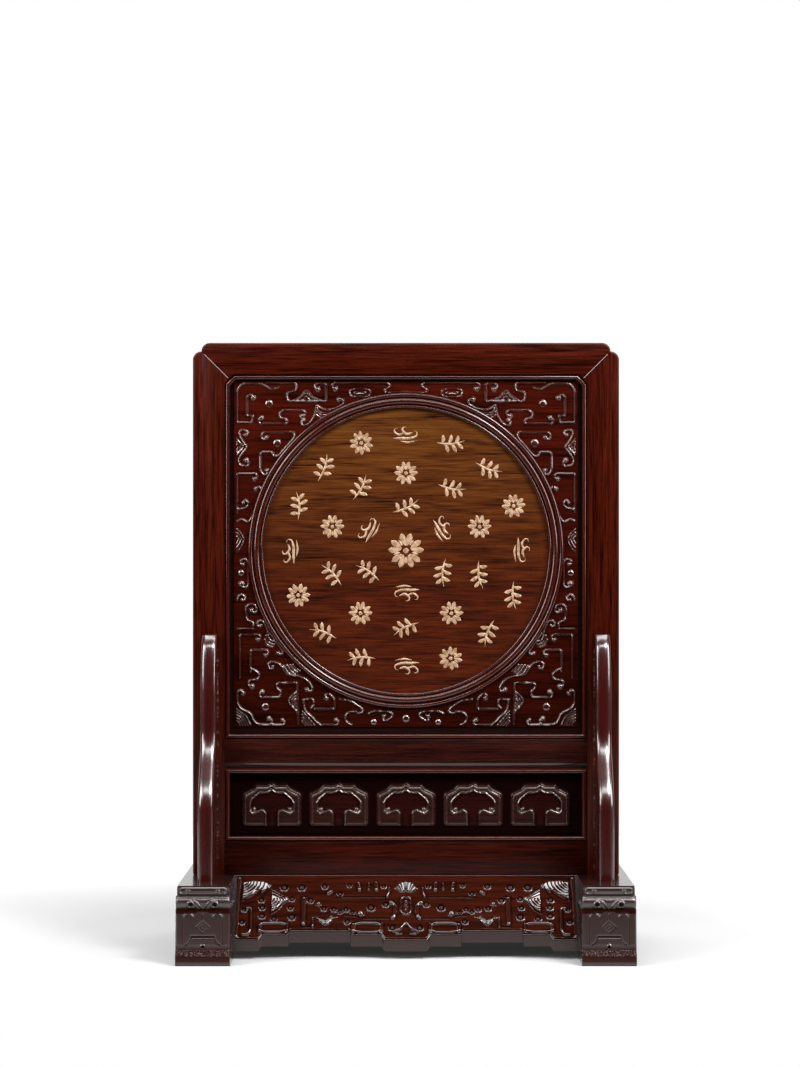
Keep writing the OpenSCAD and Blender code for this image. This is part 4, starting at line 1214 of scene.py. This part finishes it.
# Rings of sprays: radius, number, size and the motifs that take turns
SPRAY_RINGS = [(0, 1, 1.5, (blossom,)), (25.5, 6, 1.0, (sprig, cloud)), (45.5, 10, 1.0, (blossom, sprig)),
               (68.5, 16, 1.0, (cloud, blossom, sprig, sprig))]


def make_gilding():
    """All sprays as one leaf-thin piece on the disc."""
    points = []
    faces = []
    for radius, count, size, motifs in SPRAY_RINGS:
        for index in range(count):
            turn = 2 * math.pi * index / count
            turned = np.array([[math.cos(turn), -math.sin(turn)], [math.sin(turn), math.cos(turn)]])
            for path, width, widest in motifs[index % len(motifs)]():
                stroke, sides = brush(np.array(path, float) * size, width * size, widest)
                base = len(points)
                for x, z, height in stroke:
                    spot = turned @ np.array([x, z + radius])
                    points.append((spot[0] * MM, disc_y - height * MM, roundel_z + spot[1] * MM))
                faces += [[base + i for i in side] for side in sides]
    piece = new_piece("roundel_gilding", points, faces)
    edit_all(piece, bpy.ops.mesh.normals_make_consistent, inside=False)
    dress(piece, gilding(), "gilding")


make_gilding()


# Finishes of the solids that stay as they are

KEPT_NODES = {
    "spandrel_panel": shaded_ground_wood, "roundel_disc": roundel_wood, "back_panel": frame_upright,
    "bracket_keys": hidden_wood, "foot_wedges": hidden_wood,
}
for node_name, node_material in KEPT_NODES.items():
    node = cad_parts[node_name]
    node.data.materials.clear()
    node.data.materials.append(node_material)


# Floor, light and camera, in metres

TABLE_FRONT = -0.26
TABLE_BACK = 0.6
TABLE_HALF = 0.8
GLOW_FROM = 0.22


def seen_share(tree):
    """1 where a ray sees the thing itself, straight on, in a reflection or through glass; else 0."""
    rays = add_node(tree, "ShaderNodeLightPath").outputs
    seen = rays["Is Camera Ray"]
    for kind in ("Is Glossy Ray", "Is Transmission Ray"):
        seen = add_node(tree, "ShaderNodeMath", {0: seen, 1: rays[kind]}, operation="MAXIMUM").outputs[0]
    return seen


def make_floor():
    """Pale floor that keeps the soft shadow and turns to white away from the object."""
    corners = [(x, y, 0) for x, y in rectangle(TABLE_HALF, TABLE_FRONT, TABLE_BACK)]
    floor = new_piece("floor", corners, [(0, 1, 2, 3)])
    material, tree, _ = new_material("pale_paper_floor")
    tree.nodes.clear()
    place = add_node(tree, "ShaderNodeTexCoord").outputs["Object"]
    away = add_node(tree, "ShaderNodeVectorMath", {0: place}, operation="LENGTH")
    # Painted light: for the eye and in reflections the floor glows, faintly near the object, which lifts the
    # shade there, and fully white far from it
    level = add_node(tree, "ShaderNodeMapRange", {
        "Value": away.outputs["Value"], "From Min": GLOW_FROM, "From Max": TABLE_HALF, "To Min": 0.022})
    share = add_node(tree, "ShaderNodeMath", {0: seen_share(tree), 1: level.outputs[0]}, operation="MULTIPLY")
    paper = add_node(tree, "ShaderNodeBsdfDiffuse", {"Color": srgb("#b5b5b5")})
    glow = add_node(tree, "ShaderNodeEmission", {"Color": srgb("#ffffff"), "Strength": share.outputs[0]})
    both = add_node(tree, "ShaderNodeAddShader", {0: paper.outputs[0], 1: glow.outputs[0]})
    add_node(tree, "ShaderNodeOutputMaterial", {"Surface": both.outputs[0]})
    floor.data.materials.append(material)


def make_world():
    """White surroundings to the eye, and an even low fill for the object."""
    world = bpy.data.worlds.new("studio")
    bpy.context.scene.world = world
    world.use_nodes = True
    tree = world.node_tree
    tree.nodes.clear()
    level = add_node(tree, "ShaderNodeMapRange", {"Value": seen_share(tree), "To Min": 0.15, "To Max": 1.0})
    sky = add_node(tree, "ShaderNodeBackground", {"Color": srgb("#ffffff"), "Strength": level.outputs[0]})
    add_node(tree, "ShaderNodeOutputWorld", {"Surface": sky.outputs[0]})


def make_flag(name, corners):
    """A black card that only reflections see, as a photographer sets round polished wood."""
    card = new_piece(name, corners, [(0, 1, 2, 3)])
    material, tree, shader = new_material(name + "_black_card")
    feed(tree, shader, {"Base Color": srgb("#0a0a0a"), "Roughness": 1.0})
    card.data.materials.append(material)
    card.visible_camera = False
    card.visible_diffuse = False
    card.visible_shadow = False


def make_lamp(name, place, aim, size, power):
    """A soft box, turned towards the object."""
    lamp = bpy.data.lights.new(name, "AREA")
    lamp.shape = "RECTANGLE"
    lamp.size, lamp.size_y = size
    lamp.energy = power
    holder = add_object(name, lamp)
    holder.location = place
    holder.rotation_euler = (Vector(aim) - Vector(place)).to_track_quat("-Z", "Y").to_euler()


def make_camera():
    """The photograph's viewpoint: level, on the middle line, with the frame shifted up."""
    lens = bpy.data.cameras.new("camera")
    lens.lens = 84.6
    lens.sensor_width = 36
    lens.shift_x = -0.0056
    lens.shift_y = 0.0248
    camera = add_object("camera", lens)
    camera.location = (0, -1.481, 0.2296)
    camera.rotation_euler = (math.radians(90), 0, 0)
    bpy.context.scene.camera = camera


bpy.context.scene.view_settings.view_transform = "Standard"
make_floor()
make_world()
make_flag("front_flag", [(-6, -3, -6), (6, -3, -6), (6, -3, 6), (-6, -3, 6)])
make_flag("back_flag", [(-6, 3, -6), (6, 3, -6), (6, 3, -0.05), (-6, 3, -0.05)])
make_flag("left_flag", [(-3, -3, -6), (-3, 1, -6), (-3, 1, 6), (-3, -3, 6)])
make_flag("right_flag", [(3, -3, -6), (3, 1, -6), (3, 1, 6), (3, -3, 6)])
make_flag("roof_flag", [(-6, -3, 6), (6, -3, 6), (6, 1, 6), (-6, 1, 6)])
make_lamp("key", (0.7, -0.8, 1.25), (0, 0, 0.15), (0.4, 0.4), 20)
make_lamp("fill", (-0.85, -0.8, 1.0), (0, 0, 0.2), (0.4, 0.4), 5)
make_lamp("front_top", (0, -1.0, 1.3), (0, 0, 0.2), (1.2, 0.15), 9)
make_lamp("top", (0, 0, 0.95), (0, 0, 0.1), (0.9, 0.3), 8)
make_lamp("back", (-0.3, 1.1, 1.2), (0, 0, 0.15), (0.6, 0.6), 5)
make_lamp("left_strip", (-0.9, -0.5, 0.6), (0, 0, 0.3), (0.25, 0.7), 8)
make_lamp("right_strip", (0.9, -0.5, 0.6), (0, 0, 0.3), (0.25, 0.7), 8)
make_camera()
